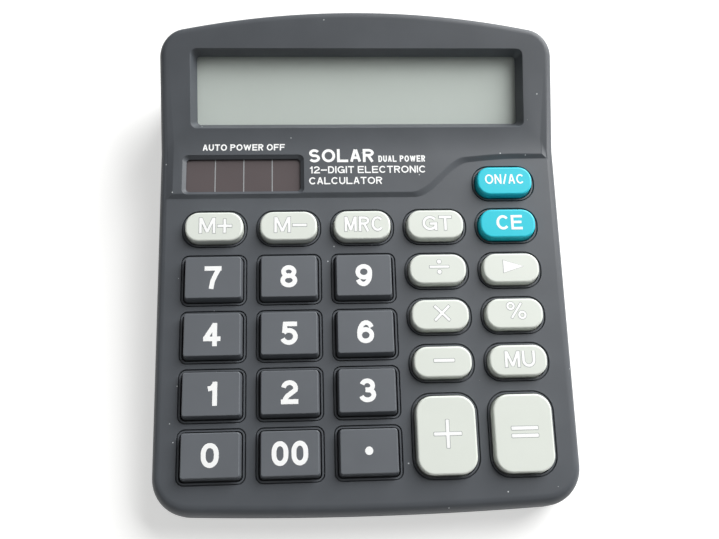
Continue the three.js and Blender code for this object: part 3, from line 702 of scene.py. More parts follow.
# Moulded ABS: a fine spark-eroded grain breaks up the light, so the case looks even and satin.
CASE_ABS = Finish(
    "moulded_abs_charcoal",
    "#505459",
    0.5,
    grain=0.45,
    grain_depth=0.006,
    mottle=0.07,
    dust="#c9cdcf",
    dust_spacing=5.3,
    dust_size=0.2,
)
# The same ABS on the flat top of a digit key, a little smoother where fingers rub it.
DIGIT_TOP_ABS = Finish(
    "rubbed_abs_charcoal",
    "#64686d",
    0.45,
    grain=0.5,
    grain_depth=0.004,
    mottle=0.05,
    dust="#b9bdbf",
)
# Walls of a digit key: the same charcoal ABS as the top, made near-black by painted shade, as in
# the shade of the narrow well, so that the edge stands out.
DIGIT_WALL_PAINTED_SHADE = Finish("polished_abs_black", "#030304", 0.5, ior=1.42)
# Pale, shiny grey along the upper round edge of a digit key: a painted highlight, the thin light
# line where the edge catches the light.
DIGIT_EDGE_PAINTED_HIGHLIGHT = Finish("worn_abs_edge", "#b0b4b8", 0.25)
# Satin moulded ABS in warm light grey, with a soft highlight along its round edges.
LIGHT_KEY_ABS = Finish(
    "satin_abs_light_grey", "#e0e5dd", 0.38, grain=0.6, grain_depth=0.003, mottle=0.015
)
# The same satin ABS in strong cyan.
CYAN_KEY_ABS = Finish("satin_abs_cyan", "#20c7d9", 0.38, grain=0.6, grain_depth=0.003)
# Screen ink: thick, even and slightly glossy.
WHITE_INK = Finish("screen_ink_white", "#fbfcfb", 0.5)
# Grey under the white print of the light keys: no ink, a painted shade outline round the print.
PRINT_SHADE_OUTLINE = Finish("screen_ink_grey", "#8f9593", 0.6)
# Polished acrylic: nearly invisible, with a thin reflection.
WINDOW_ACRYLIC = Finish("polished_acrylic", "#dfe6e2", 0.06, ior=1.49, alpha=0.1)
# Display glass behind its polariser: an even grey-green, a little lighter to one side.
DISPLAY_GLASS = Finish(
    "polarised_display_glass", "#d3dbd5", 0.3, ior=1.52, mottle=0.02, mottle_size=60
)
# Amorphous solar glass: dark brown with a clear, hard surface.
SOLAR_GLASS = Finish("amorphous_solar_glass", "#5e5657", 0.18, ior=1.52, coat=0.5, mottle=0.03)
SOLAR_LINE = Finish("printed_silver_line", "#9b9ea0", 0.4)
# Silicone: matt, milky and soft.
MEMBRANE_SILICONE = Finish("moulded_silicone", "#b9b6ae", 0.75, ior=1.41)
# Glass-fibre board under green solder resist, with a gloss coat.
BOARD_RESIST = Finish("solder_resist_green", "#245c3a", 0.35, coat=0.3, mottle=0.08, mottle_size=4)
CARBON_PAD = Finish("carbon_contact_ink", "#1b1c1e", 0.6)
# Cured black resin: smooth, with the meniscus of a poured drop.
EPOXY = Finish("cured_epoxy_black", "#141516", 0.3, ior=1.55)
FRAME_STYRENE = Finish("moulded_styrene_white", "#d2d3cf", 0.5)
RIBBON_FILM = Finish("polyimide_film_amber", "#b1803a", 0.3, mottle=0.05, mottle_size=2)
BATTERY_SLEEVE = Finish("printed_pvc_sleeve", "#24477f", 0.3, coat=0.4)
BATTERY_BAND = Finish("printed_pvc_band", "#c9b26a", 0.3, coat=0.4)
# Nickel plate over drawn steel: bright, with faint draw marks.
CONTACT_STEEL = Finish(
    "nickel_plated_steel", "#b9bcc0", 0.28, metallic=1.0, mottle=0.05, mottle_size=1
)
SCREW_STEEL = Finish("zinc_plated_steel", "#a4a7aa", 0.35, metallic=1.0, mottle=0.06, mottle_size=1)
FOOT_RUBBER = Finish("moulded_rubber_black", "#1d1d1f", 0.85, grain=0.5, grain_depth=0.01)
LEAD_RED = Finish("pvc_insulation_red", "#b02a25", 0.45)
LEAD_BLACK = Finish("pvc_insulation_black", "#1b1b1d", 0.45)
# Painted board that the calculator stands on.
FLOOR_PAINT = Finish("matt_white_floor", "#d8d8d7", 0.8, glow=0.75)


# --- Places read from the frame ---


@dataclass(frozen=True)
class Face:
    """A flat face with its own axes: across, along and out of it."""

    origin: Vector
    tilt: float

    @property
    def matrix(self) -> Matrix:
        """From the face's axes to the frame's, in millimetres."""
        return Matrix.Translation(self.origin) @ Matrix.Rotation(self.tilt, 4, "X")

    def raised(self, rise: float) -> "Face":
        """The parallel face a distance above this one."""
        return Face(self.matrix @ Vector((0, 0, rise)), self.tilt)

    def box(self, node: bpy.types.Object) -> tuple[Vector, Vector]:
        """Lowest and highest corners of a frame node in the face's axes.

        Args:
            node: The frame node.

        Returns:
            The two corners, in millimetres.
        """
        back = self.matrix.inverted()
        points = [back @ (vertex.co / MM) for vertex in node.data.vertices]
        low = Vector([min(p[k] for p in points) for k in range(3)])
        return low, Vector([max(p[k] for p in points) for k in range(3)])

    def centre(self, node: bpy.types.Object) -> Vector:
        """Middle of a frame node's box in the face's axes."""
        low, high = self.box(node)
        return (low + high) / 2

    def height(self, y: float, depth: float) -> float:
        """Height of the face at a distance y in the frame, sunk by a depth."""
        return self.origin.z + (y - self.origin.y) * math.tan(self.tilt) - depth / math.cos(
            self.tilt
        )


FRAME_AXES = Face(Vector((0, 0, 0)), 0.0)


@dataclass
class Layout:
    """The faces of the calculator and its outer sizes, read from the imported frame."""

    nodes: dict[str, bpy.types.Object]
    joints: list[dict[str, Any]]
    key_rise: float = 2.4
    panel_rise: float = 0.8
    window_depth: float = 3.7

    def __post_init__(self) -> None:
        """Finds the faces from a key joint and the display window."""
        low, high = frame_box("upper_case")
        base = frame_box("lower_case")[0]
        self.half_width, self.front, self.rear = high.x, low.y, high.y
        self.upper_bottom, self.case_bottom = low.z, base.z
        axis = next(Vector(j["axis"]) for j in self.joints if j["child"] == "key_5")
        level = Face(Vector((0, self.front, 0)), math.atan2(axis.y, -axis.z))
        key_top = level.box(self.nodes["key_5"])[1].z - self.key_rise
        self.keyboard = level.raised(key_top)
        self.keyboard = Face(
            Vector((0, self.front, self.keyboard.height(self.front, 0))), level.tilt
        )
        window = self.nodes["display_window"].data
        widest = max(window.polygons, key=lambda face: face.area * (face.normal.z > 0))
        tilt = math.atan2(-widest.normal.y, widest.normal.z)
        glass_top = Face(Vector((0, 0, 0)), tilt).box(self.nodes["display_window"])[1].z
        plane = Face(Vector((0, 0, 0)), tilt).raised(glass_top + self.window_depth)
        panel = self.keyboard.raised(self.panel_rise)
        slope = math.tan(tilt) - math.tan(level.tilt)
        crease = self.front + (panel.height(self.front, 0) - plane.height(self.front, 0)) / slope
        self.display = Face(Vector((0, crease, plane.height(crease, 0))), tilt)
        self.panel = panel
        self.crease_v = (self.keyboard.matrix.inverted() @ self.display.origin).y

    def top(self, y: float, depth: float) -> float:
        """Height of the folded top at a distance y, sunk by a depth."""
        return max(self.keyboard.height(y, depth), self.display.height(y, depth))

    def fold(self, depth: float) -> float:
        """Where the two top faces meet when both are sunk by a depth."""
        slope = math.tan(self.display.tilt) - math.tan(self.keyboard.tilt)
        y = self.display.origin.y
        return y + (self.keyboard.height(y, depth) - self.display.height(y, depth)) / slope

    def key_centre(self, node: str) -> Vector:
        """Middle of a key on the keyboard face."""
        return self.keyboard.centre(self.nodes[node])


@dataclass
class CasePlan:
    """Outline of the case seen from above."""

    layout: Layout
    taper: float = 0.7
    front_corner: float = 10.5
    rear_corner: float = 8.5
    front_edge: float = 1100.0
    rear_edge: float = 295.0
    corner_steps: int = 14
    edge_steps: int = 30
    points: list[tuple[Vector, Vector]] = field(default_factory=list)

    def __post_init__(self) -> None:
        """Works out the outline's points and their outward directions."""
        rear, behind, b = self.end(self.rear_edge, self.rear_corner, self.layout.rear, 1)
        front, ahead, a = self.end(self.front_edge, self.front_corner, self.layout.front, -1)
        fold = self.layout.fold(0)
        mirror = Matrix.Diagonal((-1, 1))
        half, corner, edge = math.pi, self.corner_steps, self.edge_steps
        runs = [
            (front, self.front_corner, -a, 0, corner),
            (Vector((self.side(fold), fold)), 0, 0, 0, 0),
            (rear, self.rear_corner, 0, b, corner),
            (behind, self.rear_edge, b, half - b, edge),
            (mirror @ rear, self.rear_corner, half - b, half, corner),
            (Vector((-self.side(fold), fold)), 0, half, half, 0),
            (mirror @ front, self.front_corner, half, half + a, corner),
            (ahead, self.front_edge, half + a, 2 * half - a, edge),
        ]
        self.breaks = []
        for centre, radius, start, end, steps in runs:
            if steps == 0:
                self.breaks.append(len(self.points))
            is_edge = steps == self.edge_steps
            for i in range(1 if is_edge else 0, steps if is_edge else steps + 1):
                angle = start + (end - start) * i / max(steps, 1)
                normal = Vector((math.cos(angle), math.sin(angle)))
                self.points.append((centre + radius * normal, normal))

    def side(self, y: float) -> float:
        """Half width of the case at a distance y."""
        depth = self.layout.rear - self.layout.front
        return self.layout.half_width - self.taper * (self.layout.rear - y) / depth

    def end(self, edge: float, corner: float, y: float, way: int) -> tuple[Vector, Vector, float]:
        """Circles that make one end of the outline.

        Args:
            edge: Radius of the end's long arc.
            corner: Radius of its corners.
            y: Where the end stands.
            way: 1 at the rear and -1 at the front.

        Returns:
            Centre of the right corner, centre of the long arc, and the angle at which they meet.
        """
        x = self.side(y) - corner
        reach = math.sqrt((edge - corner) ** 2 - x**2)
        middle = Vector((0, y - way * edge))
        return Vector((x, middle.y + way * reach)), middle, math.atan2(reach, x)

    def level(self, inset: float, z: float) -> Ring:
        """The outline drawn in, at one height."""
        return [Vector((*(point - normal * inset), z)) for point, normal in self.points]

    def topped(self, edge: Callable[[Vector], tuple[float, float]]) -> Ring:
        """The outline drawn in and laid on the sunken top faces.

        Args:
            edge: How far in and how far down a point goes, from its outward direction.

        Returns:
            The ring.
        """
        made = []
        for i, (point, normal) in enumerate(self.points):
            inset, depth = edge(normal)
            place = point - normal * inset
            if i in self.breaks:
                y = self.layout.fold(depth)
                place = Vector((math.copysign(self.side(y) - inset, point.x), y))
            made.append(Vector((*place, self.layout.top(place.y, depth))))
        return made

    def folded(self, rings: Sequence[Ring]) -> bmesh.types.BMesh:
        """A body whose top folds where the faces meet."""
        right, left = self.breaks
        count = range(len(self.points))
        return loft(
            rings,
            [
                [i for i in count if i <= right or i >= left],
                [i for i in count if right <= i <= left],
            ],
        )

    def drawn(self, inset: float) -> Outline:
        """The outline drawn in, as flat points."""
        return [point - normal * inset for point, normal in self.points]


# --- Keys ---


@dataclass(frozen=True)
class KeyShape:
    """Sizes of one kind of key and of the well that it stands in."""

    width: float
    height: float
    radius: float
    draw_in: float
    rear_shift: float
    edge: float
    rise: float = 2.4
    ledge: float = 0.78
    ledge_depth: float = 0.14
    well_depth: float = 0.9

    def outline(self, inset: float) -> Outline:
        """The well's outline drawn in."""
        return rounded(self.width - 2 * inset, self.height - 2 * inset, self.radius - inset)


class KeyKind(Enum):
    """The three kinds of key."""

    DIGIT = KeyShape(19.3, 15.4, 2.3, 0.45, 0.4, 0.28)
    FUNCTION = KeyShape(19.4, 11.45, 5.2, 0.12, 0.1, 0.62)
    TALL = KeyShape(19.5, 24.35, 6.0, 0.12, 0.1, 0.62)


class MarkShape(Enum):
    """What a mark on a key is made of."""

    TEXT = "text"
    BAR = "bar"
    DOT = "dot"
    RING = "ring"
    ARROW = "arrow"


def bow(x: float, y: float, across: float, along: float, start: float, end: float) -> Outline:
    """Points on an oval arc, with angles in degrees."""
    steps = max(4, int(abs(end - start) / ARC_STEP))
    angles = [math.radians(start + (end - start) * i / steps) for i in range(steps + 1)]
    return [Vector((x + across * math.cos(a), y + along * math.sin(a))) for a in angles]


class Ends(Enum):
    """How a stroke ends."""

    CUT = 0.0
    SQUARE = 0.5
    CLOSED = -1.0


Stroke = tuple[Ends, Outline]


def line(*points: tuple[float, float], ends: Ends = Ends.SQUARE) -> Stroke:
    """A stroke through points."""
    return ends, [Vector(p) for p in points]


def bent(*points: Vector, ends: Ends = Ends.CUT) -> Stroke:
    """A curved stroke."""
    return ends, list(points)


def cut(*points: tuple[float, float]) -> Stroke:
    """A stroke through points that ends at the last of them."""
    return line(*points, ends=Ends.CUT)


def curve(*sizes: float) -> Stroke:
    """A stroke along one oval arc."""
    return bent(*bow(*sizes))


def oval(*sizes: float) -> Stroke:
    """A stroke that closes on itself along an oval."""
    return bent(*bow(*sizes), ends=Ends.CLOSED)


STEM = line((0, 0), (0, 1))
BASE = line((0, 0), (1, 0))
HEAD = line((0, 1), (1, 1))
SIX = (oval(0.5, 0.31, 0.5, 0.31, 0, 345), curve(0.55, 0.4, 0.55, 0.6, 190, 35))
BOWL = bent(Vector((0, 1)), *bow(0.5, 0.76, 0.5, 0.24, 90, -90), Vector((0, 0.52)))

# Centrelines of a plain upright lettering, on a square of side 1.
GLYPHS: dict[str, tuple[Stroke, ...]] = {
    "0": (
        bent(
            *bow(0.5, 0.6, 0.5, 0.4, 0, 180), *bow(0.5, 0.4, 0.5, 0.4, 180, 360), ends=Ends.CLOSED
        ),
    ),
    "1": (line((1, 0), (1, 1)), cut((0.1, 0.76), (0.6, 0.8), (1, 1))),
    "2": (bent(*bow(0.5, 0.7, 0.48, 0.3, 172, -20), *bow(0.95, -0.05, 0.85, 0.5, 130, 175)), BASE),
    "3": (
        bent(*bow(0.5, 0.75, 0.43, 0.25, 165, -75), Vector((0.35, 0.53))),
        bent(Vector((0.35, 0.53)), *bow(0.5, 0.27, 0.5, 0.27, 75, -165)),
    ),
    "4": (line((0.72, 0), (0.72, 1)), line((0, 0.27), (1, 0.27)), cut((0.66, 1), (0, 0.3))),
    "5": (
        line((0.95, 1), (0.22, 1)),
        cut((0.2, 1.1), (0.12, 0.5)),
        curve(0.47, 0.32, 0.53, 0.33, 142, -160),
    ),
    "6": SIX,
    "7": (
        HEAD, bent(Vector((1, 1)), Vector((0.72, 0.66)), Vector((0.48, 0.3)), Vector((0.36, -0.14)))
    ),
    "8": (oval(0.5, 0.76, 0.43, 0.24, 0, 345), oval(0.5, 0.27, 0.5, 0.27, 0, 345)),
    "9": tuple((ends, [Vector((1 - p.x, 1 - p.y)) for p in points]) for ends, points in SIX),
    "A": (
        cut((0, -0.08), (0.46, 1.08)),
        cut((1, -0.08), (0.54, 1.08)),
        cut((0.2, 0.3), (0.8, 0.3)),
    ),
    "C": (curve(0.52, 0.5, 0.52, 0.5, 40, 320),),
    "D": (STEM, bent(Vector((0, 1)), *bow(0.5, 0.5, 0.5, 0.5, 90, -90), Vector((0, 0)))),
    "E": (STEM, HEAD, line((0, 0.52), (0.9, 0.52)), BASE),
    "F": (STEM, HEAD, line((0, 0.5), (0.85, 0.5))),
    "G": (curve(0.52, 0.5, 0.52, 0.5, 40, 345), line((0.62, 0.45), (1, 0.45), (1, 0))),
    "I": (STEM,),
    "L": (STEM, BASE),
    "M": (STEM, line((1, 0), (1, 1)), cut((0.04, 1.06), (0.5, 0)), cut((0.96, 1.06), (0.5, 0))),
    "N": (STEM, line((1, 0), (1, 1)), cut((0.03, 1.05), (0.97, -0.05))),
    "O": (oval(0.5, 0.5, 0.5, 0.5, 0, 345),),
    "P": (STEM, BOWL),
    "R": (STEM, BOWL, cut((0.5, 0.5), (0.97, -0.1))),
    "S": (bent(*bow(0.5, 0.75, 0.46, 0.25, 25, 255), *bow(0.5, 0.26, 0.5, 0.26, 75, -155)),),
    "T": (HEAD, line((0.5, 0), (0.5, 1))),
    "U": (bent(Vector((0, 1.1)), *bow(0.5, 0.4, 0.5, 0.4, 180, 360), Vector((1, 1.1))),),
    "W": (
        cut((0, 1.06), (0.26, 0)),
        cut((0.5, 1), (0.24, -0.06)),
        cut((0.5, 1), (0.76, -0.06)),
        cut((1, 1.06), (0.74, 0)),
    ),
    "+": (line((0, 0.46), (1, 0.46)), line((0.5, 0.02), (0.5, 0.9))),
    "-": (line((0, 0.46), (1, 0.46)),),
    "/": (cut((0, -0.1), (1, 1.1)),),
}
# Centreline width of each letter against its height, where it isn't the usual one.
USUAL_WIDTH = 0.66
WIDTHS = {
    "I": 0.0, "1": 0.32, "M": 0.78, "W": 1.15, "O": 0.84, "C": 0.76, "G": 0.8, "/": 0.34, "+": 0.68
}


@dataclass(frozen=True)
class Mark:
    """One printed shape: its size, its place from the middle of the key, and its turn in degrees.

    Text has the weight of its strokes too.
    """

    shape: MarkShape
    width: float
    height: float
    x: float = 0.0
    y: float = 0.0
    text: str = ""
    weight: float = 0.0
    turn: float = 0.0


def ribbon(
    points: Outline, width: float, ends: Ends, bottom: float, top: float
) -> bmesh.types.BMesh:
    """A flat strip along a centreline.

    Args:
        points: The centreline.
        width: Width of the strip.
        ends: How it ends.
        bottom: Height of its underside.
        top: Height of its face.

    Returns:
        The strip, as a closed solid.
    """
    closed = ends is Ends.CLOSED
    count = len(points)
    edges = [(points[(i + 1) % count] - points[i]).normalized() for i in range(
        count if closed else count - 1
    )]
    sides = []
    for i, point in enumerate(points):
        before = edges[i - 1] if closed or i else edges[0]
        after = edges[i] if closed or i < count - 1 else edges[-1]
        along = (before + after).normalized()
        across = Vector((-along.y, along.x)) * width / 2 / max(along.dot(after), 0.5)
        reach = 0.0
        if not closed and i in (0, count - 1):
            reach = ends.value * width * (1 if i else -1)
        sides.append((point + along * reach + across, point + along * reach - across))
    bm = bmesh.new()
    loops = [
        [bm.verts.new((*pair[side], height)) for pair in sides]
        for side, height in ((0, bottom), (0, top), (1, top), (1, bottom))
    ]
    for lower, upper in zip(loops, loops[1:] + loops[:1]):
        for i in range(count if closed else count - 1):
            j = (i + 1) % count
            bm.faces.new((lower[j], lower[i], upper[i], upper[j]))
    if not closed:
        bm.faces.new([loop[0] for loop in loops])
        bm.faces.new([loop[-1] for loop in reversed(loops)])
    return bm


@dataclass(frozen=True)
class Printer:
    """Lays ink on a face as thin solids."""

    sink: float = 0.02
    thickness: float = 0.035
    lift: float = 0.002
    letter_gap: float = 0.13
    space: float = 0.35

    def text(self, mark: Mark, spread: float) -> bmesh.types.BMesh:
        """A line of text with an exact size.

        Args:
            mark: The text, its size and its weight.
            spread: Extra width on every side.

        Returns:
            The letters as solids.
        """
        letters = [c for c in mark.text if c != " "]
        shares = [WIDTHS.get(c, USUAL_WIDTH) for c in letters]
        gap = self.letter_gap * mark.height
        fixed = len(letters) * mark.weight + (len(letters) - 1) * gap
        fixed += mark.text.count(" ") * self.space * mark.height
        unit = (mark.width - fixed) / sum(shares) if sum(shares) else 0.0
        tall = mark.height - mark.weight
        x = -mark.width / 2 + mark.weight / 2
        parts = []
        for character in mark.text:
            if character == " ":
                x += self.space * mark.height
                continue
            wide = unit * WIDTHS.get(character, USUAL_WIDTH)
            for ends, points in GLYPHS[character]:
                placed = [Vector((x + p.x * wide, (p.y - 0.5) * tall)) for p in points]
                top = self.thickness + self.lift * (len(parts) % 5)
                parts.append(ribbon(placed, mark.weight + 2 * spread, ends, -self.sink, top))
            x += wide + mark.weight + gap
        return merged(parts)

    def shape(self, mark: Mark, spread: float) -> bmesh.types.BMesh:
        """The mark as a solid, with its place and turn.

        Args:
            mark: What to print.
            spread: Extra width on every side.

        Returns:
            The solid, standing on the face at height 0.
        """
        width, height = mark.width + 2 * spread, mark.height + 2 * spread
        if mark.shape is MarkShape.TEXT:
            bm = self.text(mark, spread)
        elif mark.shape is MarkShape.BAR:
            lift = self.lift * (mark.turn != 0) * (1 if mark.turn > 0 else 2)
            bm = prism(rounded(width, height, height / 4), -self.sink, self.thickness + lift)
        elif mark.shape is MarkShape.DOT:
            bm = prism(circle(width / 2, 24), -self.sink, self.thickness)
        elif mark.shape is MarkShape.ARROW:
            tip = [
                Vector((-width / 2, -height / 2)),
                Vector((width / 2, 0)),
                Vector((-width / 2, height / 2)),
            ]
            bm = prism(tip, -self.sink, self.thickness)
        else:
            bm = self.loop(width / 2, mark.width / 2 - mark.height - spread)
        place = Matrix.Translation((mark.x, mark.y, 0)) @ Matrix.Rotation(
            math.radians(mark.turn), 4, "Z"
        )
        bm.transform(place)
        return bm

    def loop(self, outer: float, inner: float) -> bmesh.types.BMesh:
        """A flat ring."""
        bm = bmesh.new()
        rings = [
            [bm.verts.new(p) for p in ring(circle(radius, 24), height)]
            for radius, height in (
                (outer, -self.sink),
                (outer, self.thickness),
                (inner, self.thickness),
                (inner, -self.sink),
            )
        ]
        skin(bm, rings + rings[:1])
        return bm

    def print(
        self, name: str, marks: Sequence[Mark], place: Matrix, spread: float = 0
    ) -> bpy.types.Object:
        """Prints marks on a face.

        Args:
            name: Name of the piece.
            marks: What to print.
            place: Where the face is.
            spread: Extra width on every side, for the painted shade outline under the marks.

        Returns:
            The ink, in millimetres.
        """
        return solid(name, merged(self.shape(mark, spread) for mark in marks), place)


def bar(width: float, height: float, x: float, y: float, turn: float = 0.0) -> Mark:
    """A bar with round corners."""
    return Mark(MarkShape.BAR, width, height, x, y, turn=turn)


def digit(text: str, width: float = 4.9) -> tuple[Mark, ...]:
    """The bold figure on a digit key."""
    return (Mark(MarkShape.TEXT, width, 6.7, 0, 0, text, weight=1.34),)


def word(text: str, width: float, height: float, x: float, y: float, weight: float = 0.78) -> tuple[
    Mark, ...
]:
    """The letters on a function key."""
    return (Mark(MarkShape.TEXT, width, height, x, y, text, weight),)


@dataclass(frozen=True)
class KeySpec:
    """A key: its name in the frame, its kind, its finish and what is printed on it."""

    name: str
    kind: KeyKind
    marks: tuple[Mark, ...]
    cyan: bool = False


def slash_zero_marks() -> tuple[Mark, ...]:
    """The two rings and the stroke of a percent sign."""
    return (
        Mark(MarkShape.RING, 2.5, 0.65, -1.1, 2.2),
        Mark(MarkShape.RING, 2.5, 0.65, 2.2, -0.5),
        bar(5.4, 0.65, 0.55, 0.85, turn=56),
    )


KEYS = (
    KeySpec("key_0", KeyKind.DIGIT, digit("0")),
    KeySpec("key_00", KeyKind.DIGIT, digit("00", 10.1)),
    KeySpec("key_point", KeyKind.DIGIT, (Mark(MarkShape.DOT, 2.3, 2.3, 0, 0.1),)),
    KeySpec("key_1", KeyKind.DIGIT, digit("1", 3.5)),
    *(KeySpec(f"key_{n}", KeyKind.DIGIT, digit(str(n))) for n in range(2, 10)),
    KeySpec("key_add", KeyKind.TALL, (bar(7.9, 0.95, 0.3, 0.3), bar(7.9, 0.95, 0.3, 0.3, turn=90))),
    KeySpec("key_equals", KeyKind.TALL, (bar(7.7, 1.0, 0.3, 1.35), bar(7.7, 1.0, 0.3, -0.75))),
    KeySpec("key_subtract", KeyKind.FUNCTION, (bar(6.0, 0.93, 0.4, 0.4),)),
    KeySpec("key_mark_up", KeyKind.FUNCTION, word("MU", 8.9, 4.7, 0.5, 0.35)),
    KeySpec(
        "key_multiply",
        KeyKind.FUNCTION,
        (bar(6.2, 0.74, 0.55, 0.45, turn=45), bar(6.2, 0.74, 0.55, 0.45, turn=-45)),
    ),
    KeySpec("key_percent", KeyKind.FUNCTION, slash_zero_marks()),
    KeySpec(
        "key_divide",
        KeyKind.FUNCTION,
        (
            bar(5.8, 0.72, 0.45, 0.65),
            Mark(MarkShape.DOT, 1.3, 1.3, 0.45, 2.2),
            Mark(MarkShape.DOT, 1.3, 1.3, 0.45, -0.9),
        ),
    ),
    KeySpec("key_backspace", KeyKind.FUNCTION, (Mark(MarkShape.ARROW, 6.1, 3.9, 0.7, 0.45),)),
    KeySpec("key_memory_add", KeyKind.FUNCTION, word("M+", 9.6, 4.8, 0.5, 0.35)),
    KeySpec("key_memory_subtract", KeyKind.FUNCTION, word("M-", 9.6, 4.8, 0.6, 0.35)),
    KeySpec("key_memory_recall", KeyKind.FUNCTION, word("MRC", 11.6, 4.6, 0.5, 0.35, 0.74)),
    KeySpec("key_grand_total", KeyKind.FUNCTION, word("GT", 8.8, 4.5, 0.5, 0.35)),
    KeySpec("key_clear_entry", KeyKind.FUNCTION, word("CE", 7.9, 4.55, 0.5, 0.3), cyan=True),
    KeySpec(
        "key_on_all_clear", KeyKind.FUNCTION, word("ON/AC", 12.0, 3.1, 0, 0.5, 0.46), cyan=True
    ),
)


@dataclass
class Keyboard:
    """The 26 caps and what is printed on them."""

    layout: Layout
    neck_clearance: float = 0.34
    flange: float = 0.7
    flange_bottom: float = 3.3
    flange_top: float = 2.3
    edge_steps: int = 7
    # Edge facets of a digit key that face up more than this take the painted highlight.
    worn_slope: float = 0.7
    # Width of the painted shade outline round the print on light keys.
    halo: float = 0.13
    printer: Printer = Printer()

    def cap(self, spec: KeySpec) -> bpy.types.Object:
        """One cap: flange, straight neck, drawn-in walls, round edge and flat top.

        Args:
            spec: The key.

        Returns:
            The cap, in millimetres.
        """
        shape = spec.kind.value
        centre = self.layout.key_centre(spec.name)
        neck = shape.ledge + self.neck_clearance
        flange = shape.ledge - self.flange
        levels = [
            (flange, -self.flange_bottom, 0.0),
            (flange, -self.flange_top, 0.0),
            (neck, -self.flange_top, 0.0),
            (neck, -shape.well_depth, 0.0),
        ]
        levels += [
            (neck + shape.draw_in + inset, shape.rise - depth, shape.rear_shift)
            for inset, depth in fillet(shape.edge, self.edge_steps)
        ]
        rings = [
            ring(
                shape.outline(inset), height, centre.x, centre.y + shift
            ) for inset, height, shift in levels
        ]
        bm = loft(rings)
        bm.faces.ensure_lookup_table()
        top = max(bm.faces, key=lambda face: face.calc_center_median().z)
        # Digit keys: the flat top keeps slot 0, up-facing edge facets take the painted highlight
        # and the walls the painted shade.
        if spec.kind is KeyKind.DIGIT:
            for face in bm.faces:
                face.normal_update()
                face.material_index = 2 if face.normal.z > self.worn_slope else 1
            top.material_index = 0
        return solid(f"{spec.name}_cap", bm, self.layout.keyboard.matrix)

    def dress(self, spec: KeySpec) -> None:
        """Builds a cap with its print and hangs both on the key's body."""
        shape = spec.kind.value
        centre = self.layout.key_centre(spec.name)
        if spec.kind is KeyKind.DIGIT:
            # Digit keys: top finish, painted-shade wall finish and painted-highlight edge finish.
            slot, skins = "digit_key_plastic", [DIGIT_TOP_ABS, DIGIT_WALL_PAINTED_SHADE, DIGIT_EDGE_PAINTED_HIGHLIGHT]
        elif spec.cyan:
            slot, skins = "cyan_key_plastic", [CYAN_KEY_ABS]
        else:
            slot, skins = "light_key_plastic", [LIGHT_KEY_ABS]
        attach(self.cap(spec), skins, spec.name, (spec.name,))
        on_top = self.layout.keyboard.matrix @ Matrix.Translation(
            (centre.x, centre.y + shape.rear_shift, shape.rise)
        )
        ink = self.printer.print(f"{spec.name}_print", spec.marks, on_top)
        attach(ink, [WHITE_INK], spec.name)
        if spec.kind is not KeyKind.DIGIT and not spec.cyan:
            # Light keys: a wider grey copy of the marks just under the white print, as a painted
            # shade outline.
            under = Matrix.Translation((0, 0, -self.printer.thickness / 2))
            halo = self.printer.print(f"{spec.name}_halo", spec.marks, on_top @ under, self.halo)
            attach(halo, [PRINT_SHADE_OUTLINE], spec.name)

    def build(self) -> None:
        """Builds every key."""
        for spec in KEYS:
            self.dress(spec)


@dataclass
class KeypadMembrane:
    """Silicone web with one dome under each key."""

    layout: Layout
    screws: ScrewPlaces
    repeater: Repeater
    web_top: float = 5.8
    web_thickness: float = 0.6
    dome_top: float = 3.6
    foot_radius: float = 4.6
    top_radius: float = 3.2
    wall: float = 0.7
    skirt: float = 0.25
    keep: float = 0.32
    front_margin: float = 6.0
    corner: float = 7.0
    tab_corner: float = 0.4
    post_hole: float = 2.1
    boss_hole: float = 3.4
    boss_height: float = 40.0

    def dome(self) -> bpy.types.Object:
        """The template of a dome: a hollow cone frustum with a soft shoulder."""
        height = self.web_top - self.dome_top
        foot, top, skirt, wall = self.foot_radius, self.top_radius, self.skirt, self.wall
        outer = [(foot, 0.0), (foot - skirt, skirt), (top + skirt, height - skirt), (top, height)]
        shell = solid("dome_template", turned(outer, DOME_SIDES))
        hollow = turned([(foot - wall, -PAST), (top - wall, height - wall)], DOME_SIDES)
        return combine(shell, [solid("dome_hollow", hollow)], Combine.TAKE)

    def web(self) -> bpy.types.Object:
        """The sheet between the domes, taken from the frame's own sheet outline."""
        low, high = self.layout.keyboard.box(self.layout.nodes["keypad_membrane"])
        power = self.layout.key_centre("key_on_all_clear")
        memory = self.layout.key_centre("key_memory_add")
        depth = memory.y + self.front_margin - low.y
        bottom, top = -self.web_top - self.web_thickness, -self.web_top
        outline = rounded(high.x - low.x, depth, self.corner)
        sheet = prism(outline, bottom, top, 0, low.y + depth / 2)
        tall = high.y - memory.y
        wide = high.x - power.x + KeyKind.FUNCTION.value.width / 2 + GAP
        outline = rounded(wide, tall, self.tab_corner)
        tab = prism(outline, bottom, top, high.x - wide / 2, high.y - tall / 2)
        place = self.layout.keyboard.matrix
        web = combine(solid("keypad_web", sheet, place), [solid("tab", tab, place)], Combine.ADD)
        places = [self.layout.key_centre(spec.name) for spec in KEYS]
        span = bottom - PAST, top + PAST
        under = studs(circle(self.foot_radius - self.wall, DOME_SIDES), *span, places)
        posts = studs(circle(self.post_hole, 20), *span, self.screws.board())
        bosses = studs(circle(self.boss_hole, 24), 0, self.boss_height, self.screws.case())
        tools = [
            solid("under", under, place), solid("posts", posts, place), solid("bosses", bosses)
        ]
        return combine(web, tools, Combine.TAKE)

    def build(self) -> None:
        """Builds the web and the domes."""
        attach(self.web(), [MEMBRANE_SILICONE], stands_for=("keypad_membrane",))
        template = self.dome()
        place = self.layout.keyboard.matrix
        for spec in KEYS:
            centre = self.layout.key_centre(spec.name)
            foot = Vector((centre.x, centre.y, -self.web_top))
            dome = self.repeater.copies(f"{spec.name}_dome", template, [foot], MEMBRANE_SILICONE)
            dome.data.transform(place)
            attach(dome, [MEMBRANE_SILICONE])
            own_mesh(dome)
        bpy.data.objects.remove(template)


# --- Case ---


